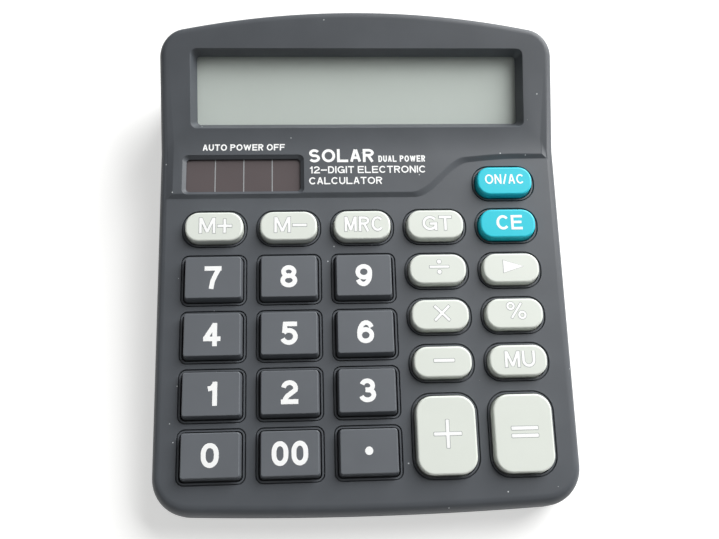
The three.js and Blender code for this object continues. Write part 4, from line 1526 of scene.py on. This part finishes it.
@dataclass
class ScrewPlaces:
    """Where the screws stand, read from the frame."""

    layout: Layout

    def named(self, prefix: str) -> list[bpy.types.Object]:
        """Frame nodes whose names start with a prefix."""
        return [node for name, node in sorted(self.layout.nodes.items()) if name.startswith(prefix)]

    def case(self) -> list[Vector]:
        """Middles of the case screws, in millimetres."""
        return [frame_centre(node.name) for node in self.named("case_screw")]

    def board(self) -> list[Vector]:
        """Middles of the board screws on the keyboard face."""
        return [self.layout.keyboard.centre(node) for node in self.named("board_screw")]


@dataclass(frozen=True)
class Opening:
    """Sizes of a sloped opening, and of the wall and the pocket under it."""

    slope: float
    depth: float
    overlap: float
    wall_top: float
    wall_corner: float
    pocket_corner: float


@dataclass
class UpperCase:
    """The top shell: round edges, raised panel, key wells, display funnel and solar window."""

    layout: Layout
    plan: CasePlan
    screws: ScrewPlaces
    wall: float = 2.0
    top_plate: float = 2.0
    side_edge: float = 2.4
    front_edge: float = 3.3
    rear_edge: float = 2.7
    edge_steps: int = 9
    shoulder: float = math.radians(68)
    parting_edge: float = 0.3
    panel_gap: float = 3.7
    panel_slope: float = 1.75
    panel_back_run: float = 6.5
    panel_bend_inner: float = 27.0
    panel_bend_outer: float = 6.0
    panel_bend_short: float = 17.0
    panel_bend_tail: float = 0.18
    panel_side: float = 1.6
    panel_side_slope: float = 1.25
    panel_steps: int = 44
    panel_sunk: float = 0.03
    panel_profile: tuple[tuple[float, float], ...] = (
        (0, 0),
        (0.12, 0.06),
        (0.25, 0.2),
        (0.75, 0.8),
        (0.88, 0.94),
        (1, 1),
    )
    rim: float = 0.15
    soft: float = 0.04
    groove: float = 0.3
    groove_depth: float = 0.9
    bezel_radius: float = 2.0
    display: Opening = Opening(1.7, 3.4, 1.3, 1.0, 2.0, 2.0)
    solar: Opening = Opening(1.05, 0.85, 0.9, 0.85, 1.5, 1.0)
    pocket_wall: float = 1.4
    boss_radius: float = 2.2
    post_radius: float = 1.8
    case_pilot: float = 1.2
    board_pilot: float = 1.0
    post_bottom: float = 6.4
    well_floor: float = 2.3

    def outer(self) -> bpy.types.Object:
        """The shell's outside as a full body."""
        rings = [
            self.plan.level(inset, self.layout.upper_bottom + drop)
            for drop, inset in fillet(self.parting_edge, 3)[::-1]
        ]

        def step(angle: float) -> Callable[[Vector], tuple[float, float]]:
            """One step round the top edge."""

            def at(normal: Vector) -> tuple[float, float]:
                """How far in and down, with a wider edge in front."""
                front = max(0.0, -normal.y) * (self.front_edge - self.side_edge)
                rear = max(0.0, normal.y) * (self.rear_edge - self.side_edge)
                radius = self.side_edge + front + rear
                return radius * (1 - math.cos(angle)), radius * (1 - math.sin(angle))

            return at

        turns = [self.shoulder * k / self.edge_steps for k in range(self.edge_steps + 1)]
        rings += [self.plan.topped(step(angle)) for angle in (*turns, QUARTER)]
        return solid("upper_case_shell", self.plan.folded(rings))

    def cavity(self) -> bpy.types.Object:
        """The hollow inside the shell."""
        rings = [
            self.plan.level(self.wall, self.layout.upper_bottom - OVERRUN),
            self.plan.topped(lambda normal: (self.wall, self.top_plate)),
        ]
        return solid("cavity", self.plan.folded(rings))

    def panel_outline(self, inset: float) -> Outline:
        """Outline of the raised panel, with its swing round the power key."""
        function = KeyKind.FUNCTION.value
        front = self.layout.key_centre("key_memory_add").y + function.height / 2 + self.panel_gap
        last_column = self.layout.key_centre("key_clear_entry").x
        side = self.panel_side + inset * self.panel_side_slope
        half = self.layout.half_width - self.plan.taper - side
        run = self.layout.crease_v - front - self.panel_back_run
        start = last_column - self.panel_bend_inner
        end = last_column + self.panel_bend_outer
        swing = []
        for i in range(self.panel_steps + 1):
            t = i / self.panel_steps
            early = min(1.0, t * (end - start) / self.panel_bend_short)
            ease = (1 - self.panel_bend_tail) * early * early * (3 - 2 * early)
            ease += self.panel_bend_tail * t * t * (3 - 2 * t)
            swing.append(Vector((start + t * (end - start) - inset, front + inset + ease * run)))
        back = self.layout.crease_v + self.layout.panel_rise
        return [
            Vector((-half, front + inset)),
            *swing,
            Vector((half, front + inset + run)),
            Vector((half, back)),
            Vector((-half, back)),
        ]

    def panel(self) -> bpy.types.Object:
        """The raised panel, with a soft step along its front."""
        rings = [ring(self.panel_outline(0), -self.top_plate / 2)]
        rise = self.layout.panel_rise + self.panel_sunk
        for t, share in self.panel_profile:
            outline = self.panel_outline(self.panel_slope * t)
            rings.append(ring(outline, -self.panel_sunk + rise * share))
        return solid("raised_panel", loft(rings), self.layout.keyboard.matrix)

    def well(self, spec: KeySpec) -> bmesh.types.BMesh:
        """Cutter for a key's hole, its ledge, the groove round it and its flared rim."""
        shape = spec.kind.value
        centre = self.layout.key_centre(spec.name)
        ledge = -shape.ledge_depth
        levels = [
            (shape.ledge, -self.well_floor),
            (shape.ledge, ledge - self.soft),
            (shape.ledge - self.soft, ledge),
            (self.groove + self.soft, ledge),
            (self.groove, ledge - self.soft),
            (self.groove, ledge - self.groove_depth),
            (0.0, ledge - self.groove_depth),
            (0.0, -self.rim),
        ]
        levels += [(-inset, -depth) for inset, depth in fillet(self.rim, 5)[1:]]
        levels += [(-self.rim, OVERRUN)]
        return loft(
            [ring(shape.outline(inset), height, centre.x, centre.y) for inset, height in levels]
        )

    def funnel(self, size: Vector, top: float, opening: Opening) -> list[Ring]:
        """Rings of a sloped opening with soft edges, centred on the origin.

        Args:
            size: Width and height of what lies under the opening.
            top: Height of what lies under it.
            opening: Sizes of the opening.

        Returns:
            The rings of its cutter, from the bottom up.
        """
        slope, depth = opening.slope, opening.depth
        lip = self.rim / 2
        levels = [
            (0.0, top),
            (0.0, -depth - lip),
            (lip / 3, -depth),
            (slope - lip, -self.rim),
            (slope, -self.rim / 4),
            (slope + lip, 0.0),
            (slope + lip, OVERRUN),
        ]
        corner = self.bezel_radius - self.display.slope / 2
        rings = []
        for out, level in levels:
            grown = 2 * (out - opening.overlap)
            rings.append(ring(rounded(size.x + grown, size.y + grown, corner + out / 2), level))
        return rings

    def opening_parts(
        self, name: str, face: Face, floor: float, opening: Opening
    ) -> tuple[bpy.types.Object, list[bpy.types.Object]]:
        """The wall round something under the top and the cutters that open it.

        Args:
            name: The frame node under the opening.
            face: Face that the opening is in.
            floor: Height of the wall's foot.
            opening: Sizes of the opening.

        Returns:
            The wall, and the cutters.
        """
        low, high = face.box(self.layout.nodes[name])
        size, middle = high - low, (low + high) / 2
        reach = 2 * (GAP + self.pocket_wall)
        outer = rounded(size.x + reach, size.y + reach, opening.wall_corner)
        inner = rounded(size.x + 2 * GAP, size.y + 2 * GAP, opening.pocket_corner)
        place = face.matrix @ Matrix.Translation((middle.x, middle.y, 0))
        funnel = loft(self.funnel(size, high.z, opening))
        pocket = prism(inner, floor - OVERRUN, high.z + GAP)
        return solid(f"{name}_wall", prism(outer, floor, -opening.wall_top), place), [
            solid(f"{name}_opening", funnel, place),
            solid(f"{name}_pocket", pocket, place),
        ]

    def pillars(self) -> list[bpy.types.Object]:
        """Bosses for the case screws and posts for the board screws."""
        bosses = merged(
            prism(
                circle(self.boss_radius, 24),
                self.layout.upper_bottom,
                self.layout.top(p.y, self.top_plate / 2),
                p.x,
                p.y,
            )
            for p in self.screws.case()
        )
        span = -self.post_bottom, -self.top_plate / 2
        posts = studs(circle(self.post_radius, 24), *span, self.screws.board())
        return [solid("bosses", bosses), solid("posts", posts, self.layout.keyboard.matrix)]

    def pilots(self) -> list[bpy.types.Object]:
        """Blind holes that the screws go into."""
        case_top = max(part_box(node.name)[1].z for node in self.screws.named("case_screw")) / MM
        board_top = self.layout.keyboard.box(self.screws.named("board_screw")[0])[1].z
        span = self.layout.upper_bottom - PAST, case_top + GAP
        case = studs(circle(self.case_pilot, 16), *span, self.screws.case())
        span = -self.post_bottom - PAST, board_top + GAP
        board = studs(circle(self.board_pilot, 16), *span, self.screws.board())
        return [
            solid("case_pilots", case), solid("board_pilots", board, self.layout.keyboard.matrix)
        ]

    def build(self) -> None:
        """Builds the shell."""
        body = combine(self.outer(), [self.panel()], Combine.ADD)
        body = combine(body, [self.cavity()], Combine.TAKE)
        screen, panel = self.layout.display, self.layout.panel
        glass = screen.box(self.layout.nodes["display_glass"])[0].z
        cell = panel.box(self.layout.nodes["solar_cell"])[0].z
        block, display_cuts = self.opening_parts("display_window", screen, glass, self.display)
        collar, solar_cuts = self.opening_parts("solar_cell", panel, cell, self.solar)
        body = combine(body, [block, collar, *self.pillars()], Combine.ADD)
        wells = solid(
            "wells", merged(self.well(spec) for spec in KEYS), self.layout.keyboard.matrix
        )
        body = combine(body, [wells, *display_cuts, *solar_cuts, *self.pilots()], Combine.TAKE)
        attach(body, [CASE_ABS], stands_for=("upper_case",))


@dataclass
class LowerCase:
    """The bottom shell with its battery bay, pillars and seats."""

    layout: Layout
    plan: CasePlan
    screws: ScrewPlaces
    wall: float = 2.0
    parting_gap: float = 0.3
    parting_edge: float = 0.3
    bottom_edge: float = 2.6
    lip_height: float = 1.4
    lip_thickness: float = 1.1
    door_tongue: float = 0.9
    tongue_thickness: float = 0.8
    bay_wall: float = 1.6
    bay_height: float = 8.4
    boss_radius: float = 2.2
    pillar_radius: float = 3.1
    pillar_head: float = 1.1
    pillar_foot: float = 0.4
    root: float = 0.5
    head_hole: float = 2.2
    shaft_hole: float = 1.2
    foot_hole: float = 5.0
    foot_seat: float = 0.9
    label_size: tuple[float, float] = (58.0, 34.0)
    label_corner: float = 2.0
    label_depth: float = 0.3

    def __post_init__(self) -> None:
        """Reads the bay from the battery, its door and the case."""
        door = frame_box("battery_door")
        battery = frame_box("battery")
        self.top = self.layout.upper_bottom - self.parting_gap
        self.floor = door[1].z + GAP
        self.bay_half = door[1].x - self.door_tongue
        self.bay_front = door[0].y - GAP
        self.bay_rear = battery[1].y + GAP
        self.groove = (self.layout.case_bottom + door[1].z) / 2

    def outer(self) -> bpy.types.Object:
        """The outside as a full body."""
        rings = [
            self.plan.level(inset, self.layout.case_bottom + rise)
            for inset, rise in fillet(self.bottom_edge, 8)[::-1]
        ]
        rings += [
            self.plan.level(inset, self.top - depth) for inset, depth in fillet(
                self.parting_edge, 3
            )
        ]
        return solid("lower_case_shell", loft(rings))

    def bay_block(self, clearance: float, bottom: float, top: float) -> bmesh.types.BMesh:
        """A block round the battery bay."""
        half = self.bay_half + clearance
        return block(
            (-half, half), (self.bay_front - clearance, self.bay_rear + clearance), (bottom, top)
        )

    def lip(self) -> bpy.types.Object:
        """The tongue that stands up inside the upper wall."""
        inset = self.wall + GAP
        top = self.layout.upper_bottom + self.lip_height
        outer = solid("lip", prism(self.plan.drawn(inset), self.floor - self.root, top))
        inner = prism(self.plan.drawn(inset + self.lip_thickness), self.floor - PAST, top + PAST)
        relief = studs(circle(self.boss_radius + GAP, 24), self.top, top + PAST, self.screws.case())
        return combine(outer, [solid("inner", inner), solid("relief", relief)], Combine.TAKE)

    def cutters(self) -> list[bpy.types.Object]:
        """Everything cut from the joined body."""
        wide, along = self.bay_half, (self.bay_front, self.layout.rear + OVERRUN)
        label = rounded(*self.label_size, self.label_corner)
        reach = self.bay_half + self.door_tongue + GAP
        half = self.tongue_thickness / 2 + GAP
        places = self.screws.case()
        feet = [frame_centre(node.name) for node in self.screws.named("rubber_foot")]
        head_top = self.top - self.pillar_head
        bottom = self.layout.case_bottom
        return [
            solid("bay", self.bay_block(0, 0, self.floor + self.bay_height + PAST)),
            solid("doorway", block((-wide, wide), along, (0, self.floor + GAP))),
            solid(
                "groove", block((-reach, reach), along, (self.groove - half, self.groove + half))
            ),
            solid("heads", studs(circle(self.head_hole), 0, head_top, places)),
            solid("shafts", studs(circle(self.shaft_hole), 0, self.top + PAST, places)),
            solid("seats", studs(circle(self.foot_hole), 0, bottom + self.foot_seat, feet)),
            solid("label", prism(label, 0, bottom + self.label_depth)),
        ]

    def build(self) -> None:
        """Builds the shell."""
        body = self.outer()
        cavity = solid("cavity", prism(self.plan.drawn(self.wall), self.floor, self.top + OVERRUN))
        body = combine(body, [cavity], Combine.TAKE)
        foot = self.layout.case_bottom + self.pillar_foot
        pillars = studs(circle(self.pillar_radius), foot, self.top, self.screws.case())
        kept = combine(solid("pillars", pillars), [self.outer()], Combine.KEEP)
        walls = self.bay_block(self.bay_wall, self.floor - self.root, self.floor + self.bay_height)
        body = combine(body, [kept, solid("bay_walls", walls), self.lip()], Combine.ADD)
        body = combine(body, self.cutters(), Combine.TAKE)
        attach(body, [CASE_ABS], stands_for=("lower_case",))


@dataclass
class BatteryDoor:
    """The sliding door under the battery, with a ribbed thumb grip."""

    layout: Layout
    lower: LowerCase
    ribs: RibMaker
    grip_width: float = 16.0
    grip_height: float = 6.0
    grip_depth: float = 0.6
    rib_count: int = 5
    rib_pitch: float = 1.0
    rib_width: float = 0.55
    arrow: float = 3.0

    def build(self) -> None:
        """Builds the plate and its ribs."""
        low, high = frame_box("battery_door")
        lower = self.lower
        half = lower.bay_half - GAP
        bottom = self.layout.case_bottom
        plate = block((-half, half), (low.y, self.layout.rear + OVERRUN), (bottom, high.z))
        body = combine(solid("battery_door_plate", plate), [lower.outer()], Combine.KEEP)
        reach = lower.bay_half + lower.door_tongue
        thick = lower.tongue_thickness / 2
        tongue = block(
            (-reach, reach), (low.y, lower.bay_rear), (lower.groove - thick, lower.groove + thick)
        )
        body = combine(body, [solid("tongues", tongue)], Combine.ADD)
        grip_y = lower.bay_rear - self.grip_height / 2
        grip = rounded(self.grip_width, self.grip_height, self.grip_height / 2)
        tip = [
            Vector((-self.arrow, -self.arrow / 2)),
            Vector((self.arrow, -self.arrow / 2)),
            Vector((0, self.arrow / 2)),
        ]
        cuts = [
            solid("grip", prism(grip, 0, bottom + self.grip_depth, 0, grip_y)),
            solid(
                "arrow", prism(tip, 0, bottom + self.grip_depth / 2, 0, grip_y + self.grip_height)
            ),
        ]
        body = combine(body, cuts, Combine.TAKE)
        attach(body, [CASE_ABS], "battery_door", ("battery_door",))
        row = run_tree(
            "battery_door_ribs",
            self.ribs.tree,
            bmesh.new(),
            {
                "Count": self.rib_count,
                "Pitch": self.rib_pitch,
                "Width": self.rib_width,
                "Length": self.grip_width - self.grip_height,
                "Finish": CASE_ABS.material,
            },
        )
        start = grip_y - self.rib_pitch * (self.rib_count - 1) / 2
        row.data.transform(Matrix.Translation((0, start, bottom + self.grip_depth)))
        attach(row, [CASE_ABS], "battery_door")


# --- Print on the panel, solar lines, fasteners and what is inside ---


@dataclass
class PanelPrint:
    """Generic words on the raised panel."""

    layout: Layout
    printer: Printer = Printer()

    def build(self) -> None:
        """Prints the words."""
        solar = self.layout.panel.centre(self.layout.nodes["solar_cell"])
        marks = [
            Mark(MarkShape.TEXT, 25.0, 2.1, solar.x + 0.1, solar.y + 8.75, "AUTO POWER OFF", 0.4),
            Mark(MarkShape.TEXT, 20.0, 4.3, -5.7, solar.y + 5.85, "SOLAR", 0.85),
            Mark(MarkShape.TEXT, 14.5, 2.1, 12.9, solar.y + 4.75, "DUAL POWER", 0.4),
            Mark(MarkShape.TEXT, 35.9, 2.3, 2.25, solar.y + 1.25, "12-DIGIT ELECTRONIC", 0.4),
            Mark(MarkShape.TEXT, 22.3, 2.3, -4.55, solar.y - 2.3, "CALCULATOR", 0.4),
        ]
        ink = self.printer.print("panel_print", marks, self.layout.panel.matrix)
        attach(ink, [WHITE_INK])


@dataclass
class SolarStrip:
    """Silver lines between the strips of the solar cell."""

    layout: Layout
    repeater: Repeater
    strips: int = 4
    line: float = 0.32
    heights: tuple[float, float] = (-0.02, 0.03)
    overlap: float = 0.9

    def build(self) -> None:
        """Lays the lines on the cell."""
        face = self.layout.panel
        node = self.layout.nodes["solar_cell"]
        low, high = face.box(node)
        start, end = low.x + self.overlap, high.x - self.overlap
        length = high.y - low.y - 2 * GAP
        bar = solid(
            "line_template", prism(rounded(self.line, length, self.line / 2, 3), *self.heights)
        )
        middle = (low.y + high.y) / 2
        pitch = (end - start) / self.strips
        points = [Vector((start + pitch * k, middle, high.z)) for k in range(1, self.strips)]
        self.repeater.lay("solar_lines", bar, points, SOLAR_LINE, "solar_glass", face.matrix)


@dataclass
class Fasteners:
    """Cross-head screws and rubber feet."""

    layout: Layout
    screws: ScrewPlaces
    repeater: Repeater
    thread_pitch: float = 0.6
    thread_depth: float = 0.16
    slot_width: float = 0.5
    head_edge: float = 0.6
    under_head: float = 0.02
    tip: float = 0.3
    slot_corner: float = 0.1
    slot_reach: float = 1.15
    foot_edge: float = 0.5
    ring_outer: float = 0.6
    ring_inner: float = 0.45
    ring_depth: float = 0.35

    def screw(
        self, head: float, head_height: float, shaft: float, length: float
    ) -> bpy.types.Object:
        """A pan-head screw pointing up, with the underside of its head at height 0.

        Args:
            head: Radius of the head.
            head_height: Height of the head.
            shaft: Radius of the shaft.
            length: Length of the shaft.

        Returns:
            The template, in millimetres.
        """
        edge = head_height * self.head_edge
        profile = [
            (head - edge + edge * math.sin(a), -head_height + edge * (1 - math.cos(a)))
            for a in EDGE_ANGLES
        ]
        profile += [(head, -self.under_head), (shaft, 0.0)]
        turns = int(length / self.thread_pitch) - 1
        for k in range(turns):
            base = (k + 0.5) * self.thread_pitch
            profile += [(shaft - self.thread_depth, base), (shaft, base + self.thread_pitch / 2)]
        profile += [(shaft - self.thread_depth, length - self.tip), (shaft / 2, length)]
        body = solid("screw_template", turned(profile, 24))
        reach = head * self.slot_reach
        bars = [
            solid(
                "slot",
                prism(rounded(a, b, self.slot_corner, 2), -head_height - PAST, -head_height / 2),
            )
            for a, b in ((reach, self.slot_width), (self.slot_width, reach))
        ]
        return combine(body, bars, Combine.TAKE)

    def screw_set(self, kind: str, face: Face, head_height: float, shaft: float) -> None:
        """All the screws of one kind.

        Args:
            kind: What their names start with.
            face: Face that they stand on.
            head_height: Height of a head.
            shaft: Radius of a shaft.
        """
        nodes = self.screws.named(kind)
        low, high = face.box(nodes[0])
        length = high.z - low.z - head_height
        template = self.screw((high.x - low.x) / 2, head_height, shaft, length)
        points = [Vector((*face.centre(node).xy, low.z + head_height)) for node in nodes]
        names = [node.name for node in nodes]
        steel = SCREW_STEEL
        self.repeater.lay(f"{kind}s", template, points, steel, "screw_steel", face.matrix, names)

    def feet(self) -> None:
        """The four rubber feet, each with a ring groove in its sole."""
        nodes = self.screws.named("rubber_foot")
        low, high = frame_box(nodes[0].name)
        radius = (high.x - low.x) / 2
        profile = [
            (
                radius - self.foot_edge + self.foot_edge * math.sin(a),
                self.foot_edge * (1 - math.cos(a)),
            )
            for a in EDGE_ANGLES
        ]
        body = solid("foot_template", turned([*profile, (radius, high.z)], 40))
        groove = prism(circle(radius * self.ring_outer), -PAST, self.ring_depth)
        core = solid("core", prism(circle(radius * self.ring_inner), -2 * PAST, PAST))
        cutter = combine(solid("groove", groove), [core], Combine.TAKE)
        template = combine(body, [cutter], Combine.TAKE)
        points = [frame_centre(node.name).xy.to_3d() for node in nodes]
        names = [node.name for node in nodes]
        place = FRAME_AXES.matrix
        self.repeater.lay("rubber_feet", template, points, FOOT_RUBBER, "foot_rubber", place, names)

    def build(self) -> None:
        """Builds the screws and the feet."""
        self.screw_set("case_screw", FRAME_AXES, 1.3, 0.9)
        self.screw_set("board_screw", self.layout.keyboard, 0.9, 0.7)
        self.feet()


@dataclass
class Electronics:
    """Battery, chip, capacitor, contact pads, and the frame nodes that only need a finish."""

    layout: Layout
    repeater: Repeater
    nub: float = 1.4
    nub_radius: float = 2.7
    nub_edge: float = 0.3
    crimp: float = 0.6
    soft: float = 0.15
    dimple: float = 2.2
    band: float = 0.7
    slight: float = 0.01
    can_edge: float = 0.3
    can_crimp: tuple[float, float, float] = (1.3, 1.6, 1.9)
    can_crimp_depth: float = 0.25
    pad_radius: float = 2.6
    carried: tuple[tuple[str, Finish], ...] = (
        ("display_window", WINDOW_ACRYLIC),
        ("display_glass", DISPLAY_GLASS),
        ("display_frame", FRAME_STYRENE),
        ("display_ribbon", RIBBON_FILM),
        ("solar_cell", SOLAR_GLASS),
        ("circuit_board", BOARD_RESIST),
        ("positive_contact", CONTACT_STEEL),
        ("negative_contact", CONTACT_STEEL),
        ("battery_lead_positive", LEAD_RED),
        ("solar_lead_positive", LEAD_RED),
        ("battery_lead_negative", LEAD_BLACK),
        ("solar_lead_negative", LEAD_BLACK),
    )

    def carry_over(self) -> None:
        """Gives the frame's own nodes their finishes."""
        for name, finish in self.carried:
            node = self.layout.nodes[name]
            node.data.materials.clear()
            node.data.materials.append(finish.material)
            log.info("%s keeps its shape and takes %s", name, finish.name)

    def battery(self) -> None:
        """The cell: sleeve, band, crimped ends and nub, lying along X."""
        low, high = frame_box("battery")
        radius = (high.y - low.y) / 2
        nub_radius, crimp, soft = self.nub_radius, self.crimp, self.soft
        length = high.x - low.x
        profile = [(radius - self.dimple, 0.0), (radius - crimp, 0.0)]
        profile += [
            (radius - crimp + d, crimp - e) for d, e in ((0.25, 0.45), (0.5, 0.15), (crimp, 0.0))
        ]
        body_top = length - self.nub
        band = self.band * length
        profile += [(radius, band), (radius, body_top - crimp)]
        profile += [
            (radius - soft, body_top - soft), (radius - crimp, body_top), (nub_radius, body_top)
        ]
        tip = length - self.nub_edge
        profile += [(nub_radius, tip), (nub_radius - self.nub_edge, length)]
        bm = turned(profile, 48)
        for face in bm.faces:
            z = face.calc_center_median().z
            across = face.calc_center_median().xy.length
            end = z < self.slight or z > body_top - self.slight
            face.material_index = 2 if end or across < radius - crimp else (1 if z > band else 0)
        place = Matrix.Translation((low.x, (low.y + high.y) / 2, (low.z + high.z) / 2))
        piece = solid("battery_cell", bm, place @ Matrix.Rotation(QUARTER, 4, "Y"))
        skins = [BATTERY_SLEEVE, BATTERY_BAND, CONTACT_STEEL]
        attach(piece, skins, stands_for=("battery",))

    def chip(self) -> None:
        """The drop of resin over the controller."""
        face = self.layout.keyboard
        low, high = face.box(self.layout.nodes["controller_blob"])
        radius, height = (high.x - low.x) / 2, high.z - low.z
        profile = [
            (radius * math.sin(a), -height * math.cos(a)) for a in (0.1, 0.35, 0.6, 0.85, 1.1, 1.35)
        ]
        middle = (low + high) / 2
        place = face.matrix @ Matrix.Translation((middle.x, middle.y, high.z))
        piece = solid("controller_drop", turned([*profile, (radius, 0.0)], 40), place)
        attach(piece, [EPOXY], stands_for=("controller_blob",))

    def capacitor(self) -> None:
        """The small can beside the controller, with a crimp near one end."""
        face = self.layout.keyboard
        low, high = face.box(self.layout.nodes["capacitor"])
        radius, length = (high.z - low.z) / 2, high.x - low.x
        edge, (start, waist, end) = self.can_edge, self.can_crimp
        profile = [(radius - edge, 0.0), (radius, edge), (radius, start)]
        profile += [(radius - self.can_crimp_depth, waist), (radius, end)]
        profile += [(radius, length - edge), (radius - edge, length)]
        middle = (low + high) / 2
        place = face.matrix @ Matrix.Translation((low.x, middle.y, middle.z))
        piece = solid(
            "capacitor_can", turned(profile, 32), place @ Matrix.Rotation(QUARTER, 4, "Y")
        )
        attach(piece, [EPOXY], stands_for=("capacitor",))

    def pads(self) -> None:
        """A ring and a dot of contact ink under each key."""
        face = self.layout.keyboard
        printer = Printer()
        marks = [Mark(MarkShape.RING, 2 * self.pad_radius, 0.8), Mark(MarkShape.DOT, 2.2, 2.2)]
        template = printer.print("pad_template", marks, Matrix.Identity(4))
        top = face.box(self.layout.nodes["circuit_board"])[1].z
        points = [Vector((*self.layout.key_centre(spec.name).xy, top)) for spec in KEYS]
        self.repeater.lay(
            "contact_pads", template, points, CARBON_PAD, "circuit_board", face.matrix
        )

    def build(self) -> None:
        """Builds or dresses everything inside."""
        self.carry_over()
        self.battery()
        self.chip()
        self.capacitor()
        self.pads()


# --- Studio ---


@dataclass
class Studio:
    """Pale floor, soft light from the upper right, and the camera."""

    layout: Layout
    floor_size: float = 3.0
    floor_depth: float = 20.0
    sky: float = 0.2
    key_power: float = 33.0
    key_size: float = 1.1
    key_place: tuple[float, float, float] = (0.76, 0.72, 0.76)
    lens: float = 40.06
    nearest: float = 0.01
    camera_place: tuple[float, float, float] = (29.4, -56.4, 230.2)
    camera_turn: tuple[float, float, float] = (14.475, -2.941, -1.617)

    def floor(self) -> None:
        """A large flat floor just under the feet."""
        half = self.floor_size / 2 / MM
        board = solid("floor", block((-half, half), (-half, half), (-self.floor_depth, 0)))
        board.data.transform(Matrix.Scale(MM, 4))
        board.data.materials.append(FLOOR_PAINT.material)

    def lamp(self, name: str, place: Vector, power: float, size: float) -> None:
        """A soft lamp that looks at the calculator.

        Args:
            name: Name of the lamp.
            place: Where it hangs, in metres.
            power: Power in watts.
            size: Side of its square, in metres.
        """
        light = bpy.data.lights.new(name, "AREA")
        light.energy = power
        light.size = size
        lamp = bpy.data.objects.new(name, light)
        lamp.location = place
        lamp.rotation_euler = (-place).to_track_quat("-Z", "Y").to_euler()
        bpy.context.scene.collection.objects.link(lamp)

    def camera(self) -> None:
        """The camera, placed from the middle of the key with a seven, on the keyboard's axes."""
        seven = self.layout.key_centre("key_7")
        place = Vector((seven.x, seven.y, 0)) + Vector(self.camera_place)
        turn = Euler([math.radians(a) for a in self.camera_turn]).to_matrix().to_4x4()
        view = self.layout.keyboard.matrix @ Matrix.Translation(place) @ turn
        lens = bpy.data.cameras.new("camera")
        lens.lens = self.lens
        lens.clip_start = self.nearest
        camera = bpy.data.objects.new("camera", lens)
        camera.matrix_world = Matrix.Translation(view.translation * MM) @ view.to_3x3().to_4x4()
        bpy.context.scene.collection.objects.link(camera)
        bpy.context.scene.camera = camera

    def build(self) -> None:
        """Sets up the studio."""
        scene = bpy.context.scene
        scene.view_settings.view_transform = "Standard"
        world = bpy.data.worlds.new("studio")
        world.use_nodes = True
        world.node_tree.nodes["Background"].inputs["Color"].default_value = (1, 1, 1, 1)
        world.node_tree.nodes["Background"].inputs["Strength"].default_value = self.sky
        scene.world = world
        self.floor()
        self.lamp("key_lamp", Vector(self.key_place), self.key_power, self.key_size)
        self.camera()


def main() -> None:
    """Builds the calculator round its frame."""
    logging.basicConfig(level=logging.INFO, format="%(name)s: %(message)s")
    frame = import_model()
    layout = Layout(frame["nodes"], frame["joints"])
    repeater = Repeater()
    plan = CasePlan(layout)
    screws = ScrewPlaces(layout)
    UpperCase(layout, plan, screws).build()
    lower = LowerCase(layout, plan, screws)
    lower.build()
    BatteryDoor(layout, lower, RibMaker()).build()
    Keyboard(layout).build()
    KeypadMembrane(layout, screws, repeater).build()
    PanelPrint(layout).build()
    SolarStrip(layout, repeater).build()
    Fasteners(layout, screws, repeater).build()
    Electronics(layout, repeater).build()
    Studio(layout).build()


if __name__ == "__main__":
    main()
